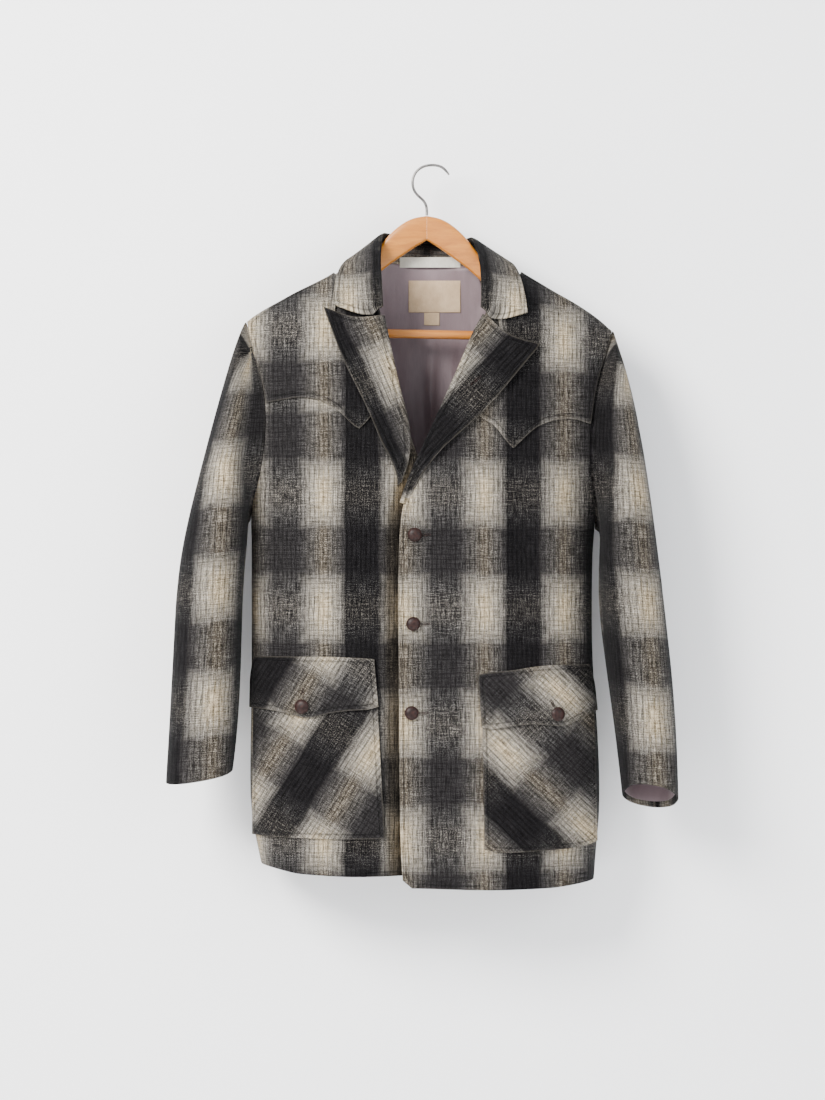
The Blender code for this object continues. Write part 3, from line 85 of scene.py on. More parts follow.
# %%
class Net:
    """Adds nodes to a tree and links them; numbers and sockets can be mixed freely."""

    def __init__(self, tree):
        self.tree = tree

    def node(self, kind, values=(), **settings):
        made = self.tree.nodes.new(kind)
        for key, value in settings.items():
            setattr(made, key, value)
        for key, value in dict(values).items():
            self.set(made.inputs[key], value)
        return made

    def set(self, socket, value):
        if isinstance(value, bpy.types.NodeSocket):
            self.tree.links.new(value, socket)
        elif value is not None:
            socket.default_value = value

    def math(self, operation, a, b=None, c=None):
        made = self.tree.nodes.new("ShaderNodeMath")
        made.operation = operation
        for socket, value in zip(made.inputs, (a, b, c)):
            self.set(socket, value)
        return made.outputs[0]

    def noise(self, place, scale, detail=2.0, roughness=0.5):
        made = self.node(
            "ShaderNodeTexNoise",
            {"Vector": place, "Scale": scale, "Detail": detail, "Roughness": roughness},
        )
        return made.outputs["Fac"]

    def stretch(self, place, sizes):
        made = self.node("ShaderNodeVectorMath", operation="MULTIPLY")
        self.set(made.inputs[0], place)
        made.inputs[1].default_value = sizes
        return made.outputs[0]

    def ramp(self, value, stops, smooth="LINEAR"):
        made = self.tree.nodes.new("ShaderNodeValToRGB")
        made.color_ramp.interpolation = smooth
        points = made.color_ramp.elements
        while len(points) < len(stops):
            points.new(0.5)
        for point, (place, color) in zip(points, stops):
            point.position = place
        for point, (place, color) in zip(points, stops):
            point.color = (*color, 1.0)
        self.set(made.inputs[0], value)
        return made.outputs["Color"]

    def mix(self, share, a, b, kind="MIX"):
        made = self.tree.nodes.new("ShaderNodeMix")
        made.data_type = "RGBA"
        made.blend_type = kind
        self.set(made.inputs[0], share)
        for socket, value in ((made.inputs[6], a), (made.inputs[7], b)):
            if isinstance(value, tuple):
                value = (*value, 1.0)
            self.set(socket, value)
        return made.outputs[2]

    def grey(self, value):
        made = self.node("ShaderNodeCombineColor", {"Red": value, "Green": value, "Blue": value})
        return made.outputs[0]

    def shaded(self, color, value):
        """A colour times a grey."""
        return self.mix(1.0, color, self.grey(value), "MULTIPLY")

    def spread(self, share, low, high):
        """A share held between two values."""
        return self.math("MAXIMUM", self.math("MINIMUM", share, high), low)

    def mapped(self, name):
        """The first number of a UV map."""
        place = self.node("ShaderNodeUVMap", uv_map=name).outputs[0]
        return self.node("ShaderNodeSeparateXYZ", {"Vector": place}).outputs["X"]

    def bump(self, height, distance, strength=1.0, normal=None):
        values = {"Height": height, "Distance": distance, "Strength": strength}
        if normal is not None:
            values["Normal"] = normal
        return self.node("ShaderNodeBump", values).outputs[0]


def new_group(name, inputs, outputs):
    """A node group with named sockets, its helper and its two end nodes."""
    tree = bpy.data.node_groups.new(name, "ShaderNodeTree")
    for label, kind, value in inputs:
        made = tree.interface.new_socket(label, in_out="INPUT", socket_type=kind)
        if value is not None:
            made.default_value = value
    for label, kind in outputs:
        tree.interface.new_socket(label, in_out="OUTPUT", socket_type=kind)
    start = tree.nodes.new("NodeGroupInput")
    end = tree.nodes.new("NodeGroupOutput")
    return tree, Net(tree), start, end


def new_material(name, slot):
    made = bpy.data.materials.new(name)
    made.use_nodes = True
    shader = made.node_tree.nodes["Principled BSDF"]
    return made, Net(made.node_tree), shader


# %% [markdown]
# ## The plaid
# A shadow plaid is woven from two orders of stripes. Across the cloth a charcoal stripe, a
# light one, a dark grey one and a light one take turns; along it a charcoal band follows a
# broad light one whose yarns go from grey to cream and back. A painted image could show it,
# but would blur from near and repeat from afar, so the two orders are colour ramps over the
# cloth's own grain, which is a UV map in metres.

# %%
CHARCOAL = (0.005, 0.0047, 0.0052)
INK = (0.013, 0.012, 0.0125)
DARK_GREY = (0.016, 0.015, 0.015)
GREY = (0.068, 0.063, 0.057)
PALE = (0.180, 0.160, 0.129)
CREAM = (0.320, 0.253, 0.158)
WARP_REPEAT = 0.208  # how far apart the stripes come again
WEFT_REPEAT = 0.1482  # and the bands
WARP_STRIPES = (
    (0.0, CHARCOAL), (0.200, CHARCOAL), (0.235, GREY), (0.30, PALE), (0.36, CREAM),
    (0.43, PALE), (0.495, GREY), (0.535, DARK_GREY), (0.69, DARK_GREY), (0.735, GREY),
    (0.80, PALE), (0.86, CREAM), (0.92, PALE), (0.975, GREY), (1.0, CHARCOAL),
)
WEFT_STRIPES = (
    (0.0, INK), (0.365, INK), (0.41, GREY), (0.52, PALE), (0.64, CREAM),
    (0.74, CREAM), (0.86, PALE), (0.96, GREY), (1.0, INK),
)

# %% [markdown]
# ## The weave
# Where two stripes cross, the darker yarn lies over the lighter one, which shows between in
# uneven flecks, fewer in the charcoal stripe, where the yarns are packed closer. Single yarns
# could be modelled, but there are thousands. So noise drawn out along each yarn gives it a
# tone of its own, a sine gives the twill's diagonals, and both also raise the surface.

# %%
SHUT, OPEN = (0.5, 0.5, 0.5), (1.0, 1.0, 1.0)
OPENNESS = ((0.0, SHUT), (0.195, SHUT), (0.25, OPEN), (0.96, OPEN), (1.0, SHUT))
YARN_WIDE, YARN_LONG = 800.0, 60.0  # noise scales across a yarn and along it
LINE_STEP = 0.0061  # from one thin darker line to the next
TWILL_STEP = 0.0031  # from one diagonal of the twill to the next
SWAY = 0.004  # how far the stripes' edges wander
FRAY = 0.0022  # how far single yarns reach past them


def plaid_group():
    tree, net, start, end = new_group(
        "plaid cloth",
        [("Place", "NodeSocketVector", None)],
        [("Color", "NodeSocketColor"), ("Height", "NodeSocketFloat")],
    )
    place = start.outputs["Place"]
    apart = net.node("ShaderNodeSeparateXYZ", {"Vector": place})
    across, along = apart.outputs["X"], apart.outputs["Y"]
    slow = net.math("SUBTRACT", net.noise(place, 22.0, 1.0), 0.5)
    quick = net.math("SUBTRACT", net.noise(place, 420.0, 2.0), 0.5)
    shift = net.math("ADD", net.math("MULTIPLY", slow, SWAY), net.math("MULTIPLY", quick, FRAY))
    warp_at = net.math("FRACT", net.math("DIVIDE", net.math("ADD", across, shift), WARP_REPEAT))
    weft_at = net.math("FRACT", net.math("DIVIDE", net.math("ADD", along, shift), WEFT_REPEAT))
    warp = net.ramp(warp_at, WARP_STRIPES)
    weft = net.ramp(weft_at, WEFT_STRIPES)
    # every yarn has a tone of its own along its whole length
    lengthwise = net.stretch(place, (YARN_WIDE, YARN_LONG, 1.0))
    crosswise = net.stretch(place, (YARN_LONG, YARN_WIDE, 1.0))
    down = net.math("SUBTRACT", net.noise(lengthwise, 1.0, 2.0), 0.5)
    over = net.math("SUBTRACT", net.noise(crosswise, 1.0, 2.0), 0.5)
    speck = net.math("SUBTRACT", net.noise(place, 760.0, 2.0, 0.7), 0.5)
    # thin darker lines, a yarn or two wide, in both directions
    lined = []
    for yarns, value, most in ((warp, across, 0.62), (weft, along, 0.45)):
        bent = net.math("ADD", value, net.math("MULTIPLY", slow, SWAY))
        line = net.math("SINE", net.math("MULTIPLY", bent, 2 * math.pi / LINE_STEP))
        line = net.math("POWER", net.math("MULTIPLY_ADD", line, 0.5, 0.5), 3.0)
        lined.append(net.mix(net.math("MULTIPLY", line, most), yarns, GREY, "MULTIPLY"))
    warp, weft = lined
    # dark yarns lie over light ones, which show between them in uneven flecks
    diagonal = net.math("ADD", across, along)
    twill = net.math("SINE", net.math("MULTIPLY", diagonal, 2 * math.pi / TWILL_STEP))
    share = net.math("MULTIPLY_ADD", twill, 0.05, net.math("MULTIPLY_ADD", speck, 1.7, 0.03))
    share = net.math("MULTIPLY_ADD", down, 0.6, net.math("MULTIPLY_ADD", over, 0.6, share))
    share = net.math("MULTIPLY", net.spread(share, 0.0, 0.9), net.ramp(warp_at, OPENNESS))
    low = net.mix(1.0, warp, weft, "DARKEN")
    high = net.node("ShaderNodeHueSaturation", {
        "Saturation": 0.45, "Color": net.mix(1.0, warp, weft, "LIGHTEN"),
    }).outputs[0]
    color = net.mix(0.12, net.mix(share, low, high), warp)
    # pale and dark fibres twisted into every yarn
    fibre = net.noise(place, 1100.0, 3.0, 0.7)
    fleck = net.math("MULTIPLY", net.math("MAXIMUM", net.math("SUBTRACT", fibre, 0.57), 0.0), 0.7)
    color = net.mix(fleck, color, PALE)
    shade = net.math("MULTIPLY_ADD", speck, 2.8, 1.0)
    shade = net.math("MULTIPLY_ADD", down, 2.6, net.math("MULTIPLY_ADD", over, 1.8, shade))
    color = net.shaded(color, net.math("MAXIMUM", shade, 0.2))
    height = net.math("ADD", net.math("MULTIPLY", twill, 0.3), net.math("ADD", fibre, speck))
    height = net.math("ADD", height, net.math("ADD", down, over))
    net.set(end.inputs["Color"], color)
    net.set(end.inputs["Height"], height)
    print(f"{tree.name}: {len(tree.nodes)} nodes")
    return tree


PLAID = plaid_group()

# %% [markdown]
# ## Brushed wool
# Milled and brushed wool is matt, with hardly any gloss and a little fuzz. Its turned edges
# are stitched down, so a groove runs beside them and the rim wears pale. The groove could be
# cut into the mesh, but it is finer than the faces, so a second UV map tells how far the rim
# is, and the material sinks a line there and darkens it with painted shade. On the right
# front, the strip that the left one covers gets painted shade, darker and browner, which a
# third map places.

# %%
SEAM_IN = 0.0058  # the stitched line, from the rim
SEAM_HALF = 0.0014
WORN_RIM = 0.0022
# the width over which the painted shade under the overlap fades out
OVERLAP_SHADE_WIDTH = 0.03


def wool_material(name, edge_stitched, overlap_shade=False):
    """Brushed wool; a stitched edge with painted shade in its groove; painted shade under the
    overlap.
    """
    made, net, shader = new_material(name, "plaid_wool")
    place = net.node("ShaderNodeUVMap", uv_map="grain").outputs[0]
    cloth = net.node("ShaderNodeGroup", node_tree=PLAID)
    net.set(cloth.inputs["Place"], place)
    color = cloth.outputs["Color"]
    normal = net.bump(cloth.outputs["Height"], 0.0006, 0.55)
    solid = net.node("ShaderNodeTexCoord").outputs["Object"]
    soft = net.noise(solid, 60.0, 3.0)
    normal = net.bump(soft, 0.004, 0.35, normal)
    if edge_stitched:
        ragged = net.math("MULTIPLY", net.math("SUBTRACT", net.noise(solid, 900.0), 0.5), 0.0016)
        gap = net.math("ADD", net.mapped("edge"), ragged)
        line = net.math("ABSOLUTE", net.math("SUBTRACT", gap, SEAM_IN))
        groove = net.math("SMOOTH_MIN", net.math("DIVIDE", line, SEAM_HALF), 1.0, 0.3)
        normal = net.bump(groove, 0.0016, 0.9, normal)
        # painted shade: the stitched groove is darkened in colour as well as sunk
        color = net.shaded(color, net.math("MULTIPLY_ADD", groove, 0.3, 0.7))
        worn = net.math("SUBTRACT", 1.0, net.math("DIVIDE", gap, WORN_RIM))
        worn = net.math("MULTIPLY", net.spread(worn, 0.0, 1.0), 0.14)
        color = net.mix(worn, color, PALE)
    # painted shade: the strip under the left front's overlap is made darker and browner
    if overlap_shade:
        strip = net.ramp(
            net.math("DIVIDE", net.mapped("cover"), OVERLAP_SHADE_WIDTH),
            ((0.0, (0.06, 0.055, 0.05)), (0.3, (0.27, 0.25, 0.22)), (0.8, (1.0, 1.0, 1.0))),
            "EASE",
        )
        color = net.mix(1.0, color, strip, "MULTIPLY")
    net.set(shader.inputs["Base Color"], color)
    net.set(shader.inputs["Normal"], normal)
    shader.inputs["Roughness"].default_value = 0.95
    shader.inputs["Specular IOR Level"].default_value = 0.03
    shader.inputs["Sheen Weight"].default_value = 0.02
    shader.inputs["Sheen Roughness"].default_value = 0.5
    return made


WOOL = wool_material("brushed plaid wool", False)
EDGED_WOOL = wool_material("brushed plaid wool with stitched edges", True)
OVERLAP_SHADED_WOOL = wool_material("brushed plaid wool with painted shade under the overlap", True, True)

# %% [markdown]
# ## Satin
# The lining is satin, whose long floating yarns make a smooth face with a soft sheen along the
# folds. A velvet shader would shine only at the rim, so this is a plain one of middling
# roughness, with a fine thread noise, a broad one for the cloth's waves, and colour that
# wears paler in clouds.

# %%
def satin_material():
    made, net, shader = new_material("grey-mauve satin", "mauve_satin")
    place = net.node("ShaderNodeTexCoord").outputs["Object"]
    cloud = net.noise(net.stretch(place, (14.0, 14.0, 5.0)), 1.0, 4.0, 0.6)
    color = net.ramp(cloud, ((0.3, (0.092, 0.063, 0.068)), (0.7, (0.175, 0.127, 0.136))))
    thread = net.noise(net.stretch(place, (2600.0, 2600.0, 60.0)), 1.0, 1.0)
    fine = net.math("MULTIPLY_ADD", thread, 0.3, 0.85)
    net.set(shader.inputs["Base Color"], net.shaded(color, fine))
    wave = net.noise(net.stretch(place, (40.0, 40.0, 9.0)), 1.0, 3.0)
    normal = net.bump(wave, 0.004, 0.4, net.bump(thread, 0.0002, 0.4))
    net.set(shader.inputs["Normal"], normal)
    shader.inputs["Roughness"].default_value = 0.42
    shader.inputs["Sheen Weight"].default_value = 0.12
    shader.inputs["Specular IOR Level"].default_value = 0.4
    return made


SATIN = satin_material()

# %% [markdown]
# ## Ribbon
# Ribbons are woven narrow, with a fine rib from edge to edge. The ribs could be raised in the
# mesh, but they are a fifth of a millimetre apart, so a drawn-out noise shades and raises
# them. One recipe takes two colours: the loop is pale, the label and its tab are tan.

# %%
def ribbon_material(name, deep, pale):
    made, net, shader = new_material(name, "cream_ribbon")
    place = net.node("ShaderNodeTexCoord").outputs["Object"]
    rib = net.noise(net.stretch(place, (2200.0, 300.0, 260.0)), 1.0, 1.0)
    cloud = net.noise(place, 45.0, 4.0, 0.6)
    color = net.ramp(cloud, ((0.3, deep), (0.7, pale)))
    fine = net.math("MULTIPLY_ADD", rib, 0.35, 0.82)
    net.set(shader.inputs["Base Color"], net.shaded(color, fine))
    net.set(shader.inputs["Normal"], net.bump(rib, 0.0004, 0.5))
    shader.inputs["Roughness"].default_value = 0.7
    return made


RIBBON = ribbon_material("pale ribbon", (0.42, 0.40, 0.34), (0.58, 0.56, 0.50))
TAN_RIBBON = ribbon_material("tan woven ribbon", (0.34, 0.235, 0.135), (0.47, 0.34, 0.215))

# %% [markdown]
# ## Varnished wood
# The hanger is warm, light wood, sawn with the grain along each arm and varnished. A plank's
# rings could be cut out of a solid texture; on parts this narrow a noise drawn out along the
# arm gives the same streaks, short dark pores are added, and a thin coat stands for varnish.

# %%
def wood_material():
    made, net, shader = new_material("varnished beech", "beech")
    place = net.node("ShaderNodeTexCoord").outputs["Object"]
    sway = net.noise(place, 6.0, 2.0)
    grain = net.node("ShaderNodeTexNoise", {
        "Vector": net.stretch(place, (14.0, 260.0, 170.0)), "Scale": 1.0, "Detail": 4.0,
        "Roughness": 0.6, "Distortion": 0.6,
    }).outputs["Fac"]
    color = net.ramp(
        net.math("MULTIPLY_ADD", sway, 0.35, net.math("MULTIPLY", grain, 0.7)),
        ((0.3, (0.27, 0.082, 0.005)), (0.52, (0.39, 0.131, 0.009)), (0.75, (0.49, 0.188, 0.018))),
    )
    pore = net.noise(net.stretch(place, (120.0, 1900.0, 1500.0)), 1.0, 1.0)
    pit = net.math("GREATER_THAN", pore, 0.66)
    color = net.mix(net.math("MULTIPLY", pit, 0.3), color, (0.20, 0.07, 0.015))
    net.set(shader.inputs["Base Color"], color)
    net.set(shader.inputs["Normal"], net.bump(grain, 0.0003, 0.35))
    shader.inputs["Roughness"].default_value = 0.38
    shader.inputs["Coat Weight"].default_value = 0.25
    shader.inputs["Coat Roughness"].default_value = 0.2
    return made


WOOD = wood_material()

# %% [markdown]
# ## Buttons, thread and wire
# The buttons are moulded to look like dark brown leather, and the buttonholes are bound with
# thread of the same colour, so both use one recipe of dark swirls and a fine bump. The hook
# is drawn steel wire: bare metal whose colour and gloss change in small spots.

# %%
def dark_material(name):
    made, net, shader = new_material(name, "dark_leather")
    place = net.node("ShaderNodeTexCoord").outputs["Object"]
    swirl = net.noise(place, 260.0, 4.0, 0.6)
    color = net.ramp(swirl, ((0.35, (0.008, 0.0035, 0.003)), (0.7, (0.026, 0.011, 0.009))))
    net.set(shader.inputs["Base Color"], color)
    net.set(shader.inputs["Normal"], net.bump(net.noise(place, 1400.0, 2.0), 0.0003, 0.35))
    shader.inputs["Roughness"].default_value = 0.45
    shader.inputs["Specular IOR Level"].default_value = 0.16
    return made


def wire_material():
    made, net, shader = new_material("drawn steel wire", "hook_steel")
    place = net.node("ShaderNodeTexCoord").outputs["Object"]
    spots = net.noise(place, 300.0, 3.0)
    color = net.ramp(spots, ((0.3, (0.10, 0.095, 0.09)), (0.75, (0.25, 0.24, 0.23))))
    net.set(shader.inputs["Base Color"], color)
    rough = net.math("MULTIPLY_ADD", spots, 0.3, 0.25)
    net.set(shader.inputs["Roughness"], rough)
    shader.inputs["Metallic"].default_value = 1.0
    return made


BUTTON = dark_material("dark moulded button")
THREAD = dark_material("dark thread")
WIRE = wire_material()
print("finishes:", ", ".join(sorted(made.name for made in bpy.data.materials if made.use_nodes)))

# %% [markdown]
# ## From solid to cloth
# Each solid is a coarse shell. Cloth could be simulated anew, but it would fall another way
# than in the picture, so the solid itself is refined. Its triangles are paired into the quads
# that they were cut from, its thin rim is held, and the rest is subdivided into a smooth
# sheet with the same outline.

# %%
RIM_TURN = 0.6  # radians; a rim's edges turn by more
FOLD_TURN = 1.05  # and so does a sharp fold anywhere
SHARP_TURN = 0.9  # edges that are rounded off at the end


def placed(name, data):
    """An object with this data, in the scene."""
    thing = bpy.data.objects.new(name, data)
    bpy.context.collection.objects.link(thing)
    return thing


def quads_of(node):
    """The node's solid in bmesh, with its triangles paired along their shared diagonals."""
    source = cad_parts[node]
    bm = bmesh.new()
    bm.from_mesh(source.data)
    bm.transform(source.matrix_world)
    bmesh.ops.remove_doubles(bm, verts=bm.verts, dist=2e-5)
    longest = {f: max(f.edges, key=lambda e: e.calc_length()) for f in bm.faces}
    pairs = [
        e for e in bm.edges
        if len(e.link_faces) == 2
        and all(len(f.edges) == 3 and longest[f] == e for f in e.link_faces)
        and e.calc_face_angle(0.0) < 0.9
    ]
    bmesh.ops.dissolve_edges(bm, edges=pairs, use_verts=False)
    left = [f for f in bm.faces if len(f.edges) == 3]
    bmesh.ops.join_triangles(
        bm, faces=left, angle_face_threshold=0.7, angle_shape_threshold=1.2
    )
    return bm


def hold_rim(bm, wall):
    """Creases along the rim between a shell's two faces, and at its corners."""
    layer = bm.edges.layers.float.new("crease_edge")
    rim = set()
    for face in bm.faces:
        sharp = [e for e in face.edges if e.calc_face_angle(0.0) > RIM_TURN]
        longest = max(e.calc_length() for e in face.edges)
        if len(sharp) >= 2 and face.calc_area() < longest * wall * 1.6:
            rim.add(face)
    for edge in bm.edges:
        inside = [f in rim for f in edge.link_faces]
        turn = edge.calc_face_angle(0.0)
        border = any(inside) and not all(inside)
        if border or (all(inside) and turn > RIM_TURN) or turn > FOLD_TURN:
            edge[layer] = 1.0


def subdivided(bm, name, levels):
    mesh = bpy.data.meshes.new(name)
    bm.to_mesh(mesh)
    bm.free()
    thing = placed(name, mesh)
    smooth = thing.modifiers.new("smooth", "SUBSURF")
    smooth.levels = smooth.render_levels = levels
    deps = bpy.context.evaluated_depsgraph_get()
    fine = bpy.data.meshes.new_from_object(thing.evaluated_get(deps))
    thing.modifiers.clear()
    thing.data = fine
    fine.name = name
    return thing


def piece_name(node):
    return node.replace("_", "-") + "-piece"


def points_of(mesh):
    flat = np.empty(len(mesh.vertices) * 3)
    mesh.vertices.foreach_get("co", flat)
    return flat.reshape(-1, 3)


def put_points(mesh, points):
    mesh.vertices.foreach_set("co", np.asarray(points, float).ravel())
    mesh.update()


def stand_in(thing, node, slot, finish):
    """The finished piece takes the place of its solid."""
    thing.data.materials.clear()
    thing.data.materials.append(finish)
    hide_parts(node)
    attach(thing, "root")
    print(f"{thing.name}: {len(thing.data.polygons)} faces")
    return thing


# %% [markdown]
# ## Edges and maps
# A cut edge of thick wool is never sharp, so the rim of each finished sheet is rounded off
# with a small bevel. The materials need to know where on the cloth they are. Blender could
# unwrap the mesh, but a pattern's grain is known better than that, so the maps are worked
# out: the grain in metres, the way to the rim, and the way to the piece that lies over it.

# %%
FAR_FROM_RIM = 0.02
FAR_FROM_COVER = 0.05
UNDER_COVER = 0.002


def rounded(thing, width):
    """The sharp edges along a rim, rounded off."""
    bm = bmesh.new()
    bm.from_mesh(thing.data)
    sharp = [e for e in bm.edges if e.calc_face_angle(0.0) > SHARP_TURN]
    bmesh.ops.bevel(
        bm, geom=sharp, offset=width, segments=2, profile=0.6, affect="EDGES",
        clamp_overlap=True,
    )
    bm.to_mesh(thing.data)
    bm.free()
    for face in thing.data.polygons:
        face.use_smooth = True


def write_map(thing, name, values):
    """A UV map from one pair of numbers a vertex."""
    layer = thing.data.uv_layers.new(name=name)
    corner = np.empty(len(thing.data.loops), int)
    thing.data.loops.foreach_get("vertex_index", corner)
    layer.data.foreach_set("uv", np.asarray(values, float)[corner].ravel())


def distances(points, others, most):
    """How far each point is from the nearest of the others, up to a limit."""
    tree = KDTree(len(others))
    for i, place in enumerate(others):
        tree.insert(place, i)
    tree.balance()
    return np.array([min(tree.find(place)[2], most) for place in points])


def rim_distance(thing, keep):
    """How far each vertex is from the kept part of the rim."""
    bm = bmesh.new()
    bm.from_mesh(thing.data)
    ends = {v.index for e in bm.edges if e.calc_face_angle(0.0) > SHARP_TURN for v in e.verts}
    bm.free()
    points = points_of(thing.data)
    kept = [points[i] for i in sorted(ends) if keep is None or keep(points[i])]
    return distances(points, kept, FAR_FROM_RIM)


def cover_distance(points, cover):
    """How far each point is, seen from the front, from a piece that overlaps it."""
    front = (1, 0, 1)
    gap = distances(points * front, points_of(cover.data) * front, FAR_FROM_COVER)
    return np.maximum(gap - UNDER_COVER, 0)


# %% [markdown]
# ## One piece of cloth
# The steps come together here. Creases are pressed into both faces of a sheet alike, so the
# cloth stays as thick as it is. The maps are written before the edges are rounded, because
# the bevel carries them on to its new faces.

# %%
def cloth(
    node, wall, slot, finish, grain=None, push=None, edge=False, keep=None, levels=2, cover=None
):
    """The piece that stands for a cloth node: smooth, creased, rounded and with its maps."""
    bm = quads_of(node)
    hold_rim(bm, wall * MM)
    thing = subdivided(bm, piece_name(node), levels)
    points = points_of(thing.data)
    if push is not None:
        points = points + push(points)
        put_points(thing.data, points)
    gap = rim_distance(thing, keep) if edge else None
    if grain is not None:
        write_map(thing, "grain", grain(points))
    if gap is not None:
        write_map(thing, "edge", np.stack([gap, gap * 0], axis=1))
    if cover is not None:
        gap = cover_distance(points, cover)
        write_map(thing, "cover", np.stack([gap, gap * 0], axis=1))
    rounded(thing, min(0.9, wall * 0.35) * MM)
    return stand_in(thing, node, slot, finish)


# %% [markdown]
# ## The grain of the body
# The cutter lays each pattern piece on the plaid, so every piece has its own straight grain.
# On the body the stripes hang plumb and the bands run level, from the fronts round to the
# back. A map thrown straight from the front would smear at the sides, so the way across is
# measured round the body, along its surface past the bend of each side. The yokes are cut
# apart, and their bands sit higher.

# %%
WARP_START = -0.0117 - 0.0998  # the left edge of a charcoal stripe on the fronts
WEFT_START = -0.477  # the top of a charcoal band on the body


def arc(out, depth=0.3, power=2.4):
    """The way round a flat oval for each way out from its middle, both over its half width."""
    t = np.linspace(0, 1, 400)
    y = depth * np.clip(1 - t**power, 0, 1) ** (1 / power)
    length = np.concatenate([[0], np.cumsum(np.hypot(np.diff(t), np.diff(y)))])
    return np.interp(out, t, length)


SIDE_TURN = 0.1  # how soon the bend is done, over the half width
BEND = 0.85  # where the front and the back turn into the sides, over the half width
HALF = table(
    "z right left",
    (-0.93, 0.238, 0.242), (-0.80, 0.234, 0.238), (-0.60, 0.225, 0.229),
    (-0.43, 0.220, 0.223), (-0.32, 0.248, 0.250), (-0.10, 0.262, 0.262),
)


def body_grain(points):
    """Plumb stripes, measured round the body; past the bend of a side along its surface."""
    x, y, z = points[:, 0] - MID_X, points[:, 1], points[:, 2]
    half = np.where(
        x > 0, np.interp(z, HALF["z"], HALF["left"]), np.interp(z, HALF["z"], HALF["right"])
    )
    out = np.abs(x) / half
    bend = y.copy()
    for side in (-1, 1):
        near = (np.sign(x) == side) & (np.abs(out - BEND) < 0.04)
        if near.sum() > 3:
            line = np.polyfit(z[near], y[near], 1)
            bend = np.where(np.sign(x) == side, np.polyval(line, z), bend)
    past = np.maximum(out - BEND, 0) * half
    past = np.hypot(past, (y - bend) * ease(out, BEND, BEND + SIDE_TURN))
    u = np.sign(x) * (half * arc(np.minimum(out, BEND)) + past)
    return np.stack([u + MID_X - WARP_START, WEFT_START - z], axis=1)


YOKE_SHIFT = {-1: 0.0662, 1: 0.0519}  # the yokes' bands sit higher than the fronts'


def yoke_grain(side):
    def grain(points):
        pair = body_grain(points)
        pair[:, 1] += YOKE_SHIFT[side]
        return pair

    return grain


# %% [markdown]
# ## The grain of the sleeves
# A sleeve's stripes run down the arm and its bands go round it. The arm hangs a little bent
# and slanted, so the middle line of each sleeve is a short table, the way across is an angle
# round that line, and the bands slope with the arm.

# %%
ARM_Y = -0.045  # the sleeves' middle, from front to back
ARM_WIDE, ARM_DEEP, ARM_ROUND = 0.042, 0.05, 0.046  # half sizes, and the mean radius
SLEEVE_TOP = -0.24
SLEEVE_SLOPE = {1: 0.08, -1: 0.09}
SLEEVE_MIDDLE = {
    1: table("x z", (0.2460, -0.20), (0.2548, -0.3081), (0.2665, -0.4186), (0.2782, -0.5811),
             (0.2860, -0.7176), (0.2910, -0.84)),
    -1: table("x z", (-0.2230, -0.20), (-0.2379, -0.2626), (-0.2665, -0.3926),
              (-0.2730, -0.5486), (-0.2795, -0.6981), (-0.2850, -0.84)),
}
SLEEVE_START = {1: (0.075, -0.0837), -1: (0.075, -0.063)}  # warp and weft at the top


def sleeve_middle(side, z):
    line = SLEEVE_MIDDLE[side]
    return np.interp(-np.asarray(z), -line["z"], line["x"])


def sleeve_grain(side):
    """Round the arm and down its bent middle line."""
    warp, weft = SLEEVE_START[side]
    slope = SLEEVE_SLOPE[side]
    stretch = math.hypot(1, slope)

    def grain(points):
        out = (points[:, 0] - sleeve_middle(side, points[:, 2])) / stretch
        angle = np.arctan2(out / ARM_WIDE, -(points[:, 1] - ARM_Y) / ARM_DEEP)
        down = (SLEEVE_TOP - points[:, 2]) * stretch - out * slope * side
        return np.stack([angle * ARM_ROUND + warp, down + weft], axis=1)

    return grain


# %% [markdown]
# ## The grain of the lapels
# A lapel is the turned-out facing, and its stripes run along the roll from the notch to the
# foot. Each has a line for them. The left lapel's foot lies in the front, so its grain goes
# over softly into the front's there, by whole repeats, and no seam shows.

# %%
LAPEL_FOOT = (0.424, 0.446)  # from where to where the left lapel takes the front's grain
LAPEL_GRAIN = table(
    "side top_x top_z low_x low_z warp weft",
    (1, 0.1365, -0.2386, -0.0065, -0.3952, 0.037, -0.002),
    (-1, -0.1378, -0.1924, -0.0455, -0.4043, 0.027, -0.155),
)


def lapel_grain(side):
    row = 0 if side > 0 else 1
    top = np.array([LAPEL_GRAIN["top_x"][row], LAPEL_GRAIN["top_z"][row]])
    low = np.array([LAPEL_GRAIN["low_x"][row], LAPEL_GRAIN["low_z"][row]])
    way = (low - top) / np.linalg.norm(low - top)
    cross = np.array([-way[1], way[0]])

    def grain(points):
        flat = points[:, (0, 2)] - top
        u = flat @ cross + LAPEL_GRAIN["warp"][row]
        pair = np.stack([u, flat @ way + LAPEL_GRAIN["weft"][row]], axis=1)
        if side < 0:
            return pair
        share = ease(-points[:, 2], *LAPEL_FOOT)[:, None]
        front = body_grain(points)
        turns = np.array([WARP_REPEAT, WEFT_REPEAT])
        apart = (pair - front)[share[:, 0] > 0.4].mean(axis=0)
        front = front + np.round(apart / turns) * turns
        return pair * (1 - share) + front * share

    return grain


# %% [markdown]
# ## The grain of the collar
# A collar is cut on the fold at the middle of the neck, so both its ends are alike. FOLD is
# the line along which it turns over. The way along that line gives the bands, counted from
# the middle, and the way off it gives the stripes.

# %%
FOLD = table(
    "x y z",
    (-0.063, -0.084, -0.189), (-0.064, -0.068, -0.152), (-0.066, -0.036, -0.111),
    (-0.063, 0.004, -0.088), (-0.038, 0.027, -0.091), (-0.001, 0.031, -0.094),
    (0.035, 0.027, -0.095), (0.052, 0.004, -0.092), (0.060, -0.036, -0.116),
    (0.063, -0.068, -0.155), (0.062, -0.084, -0.190),
)


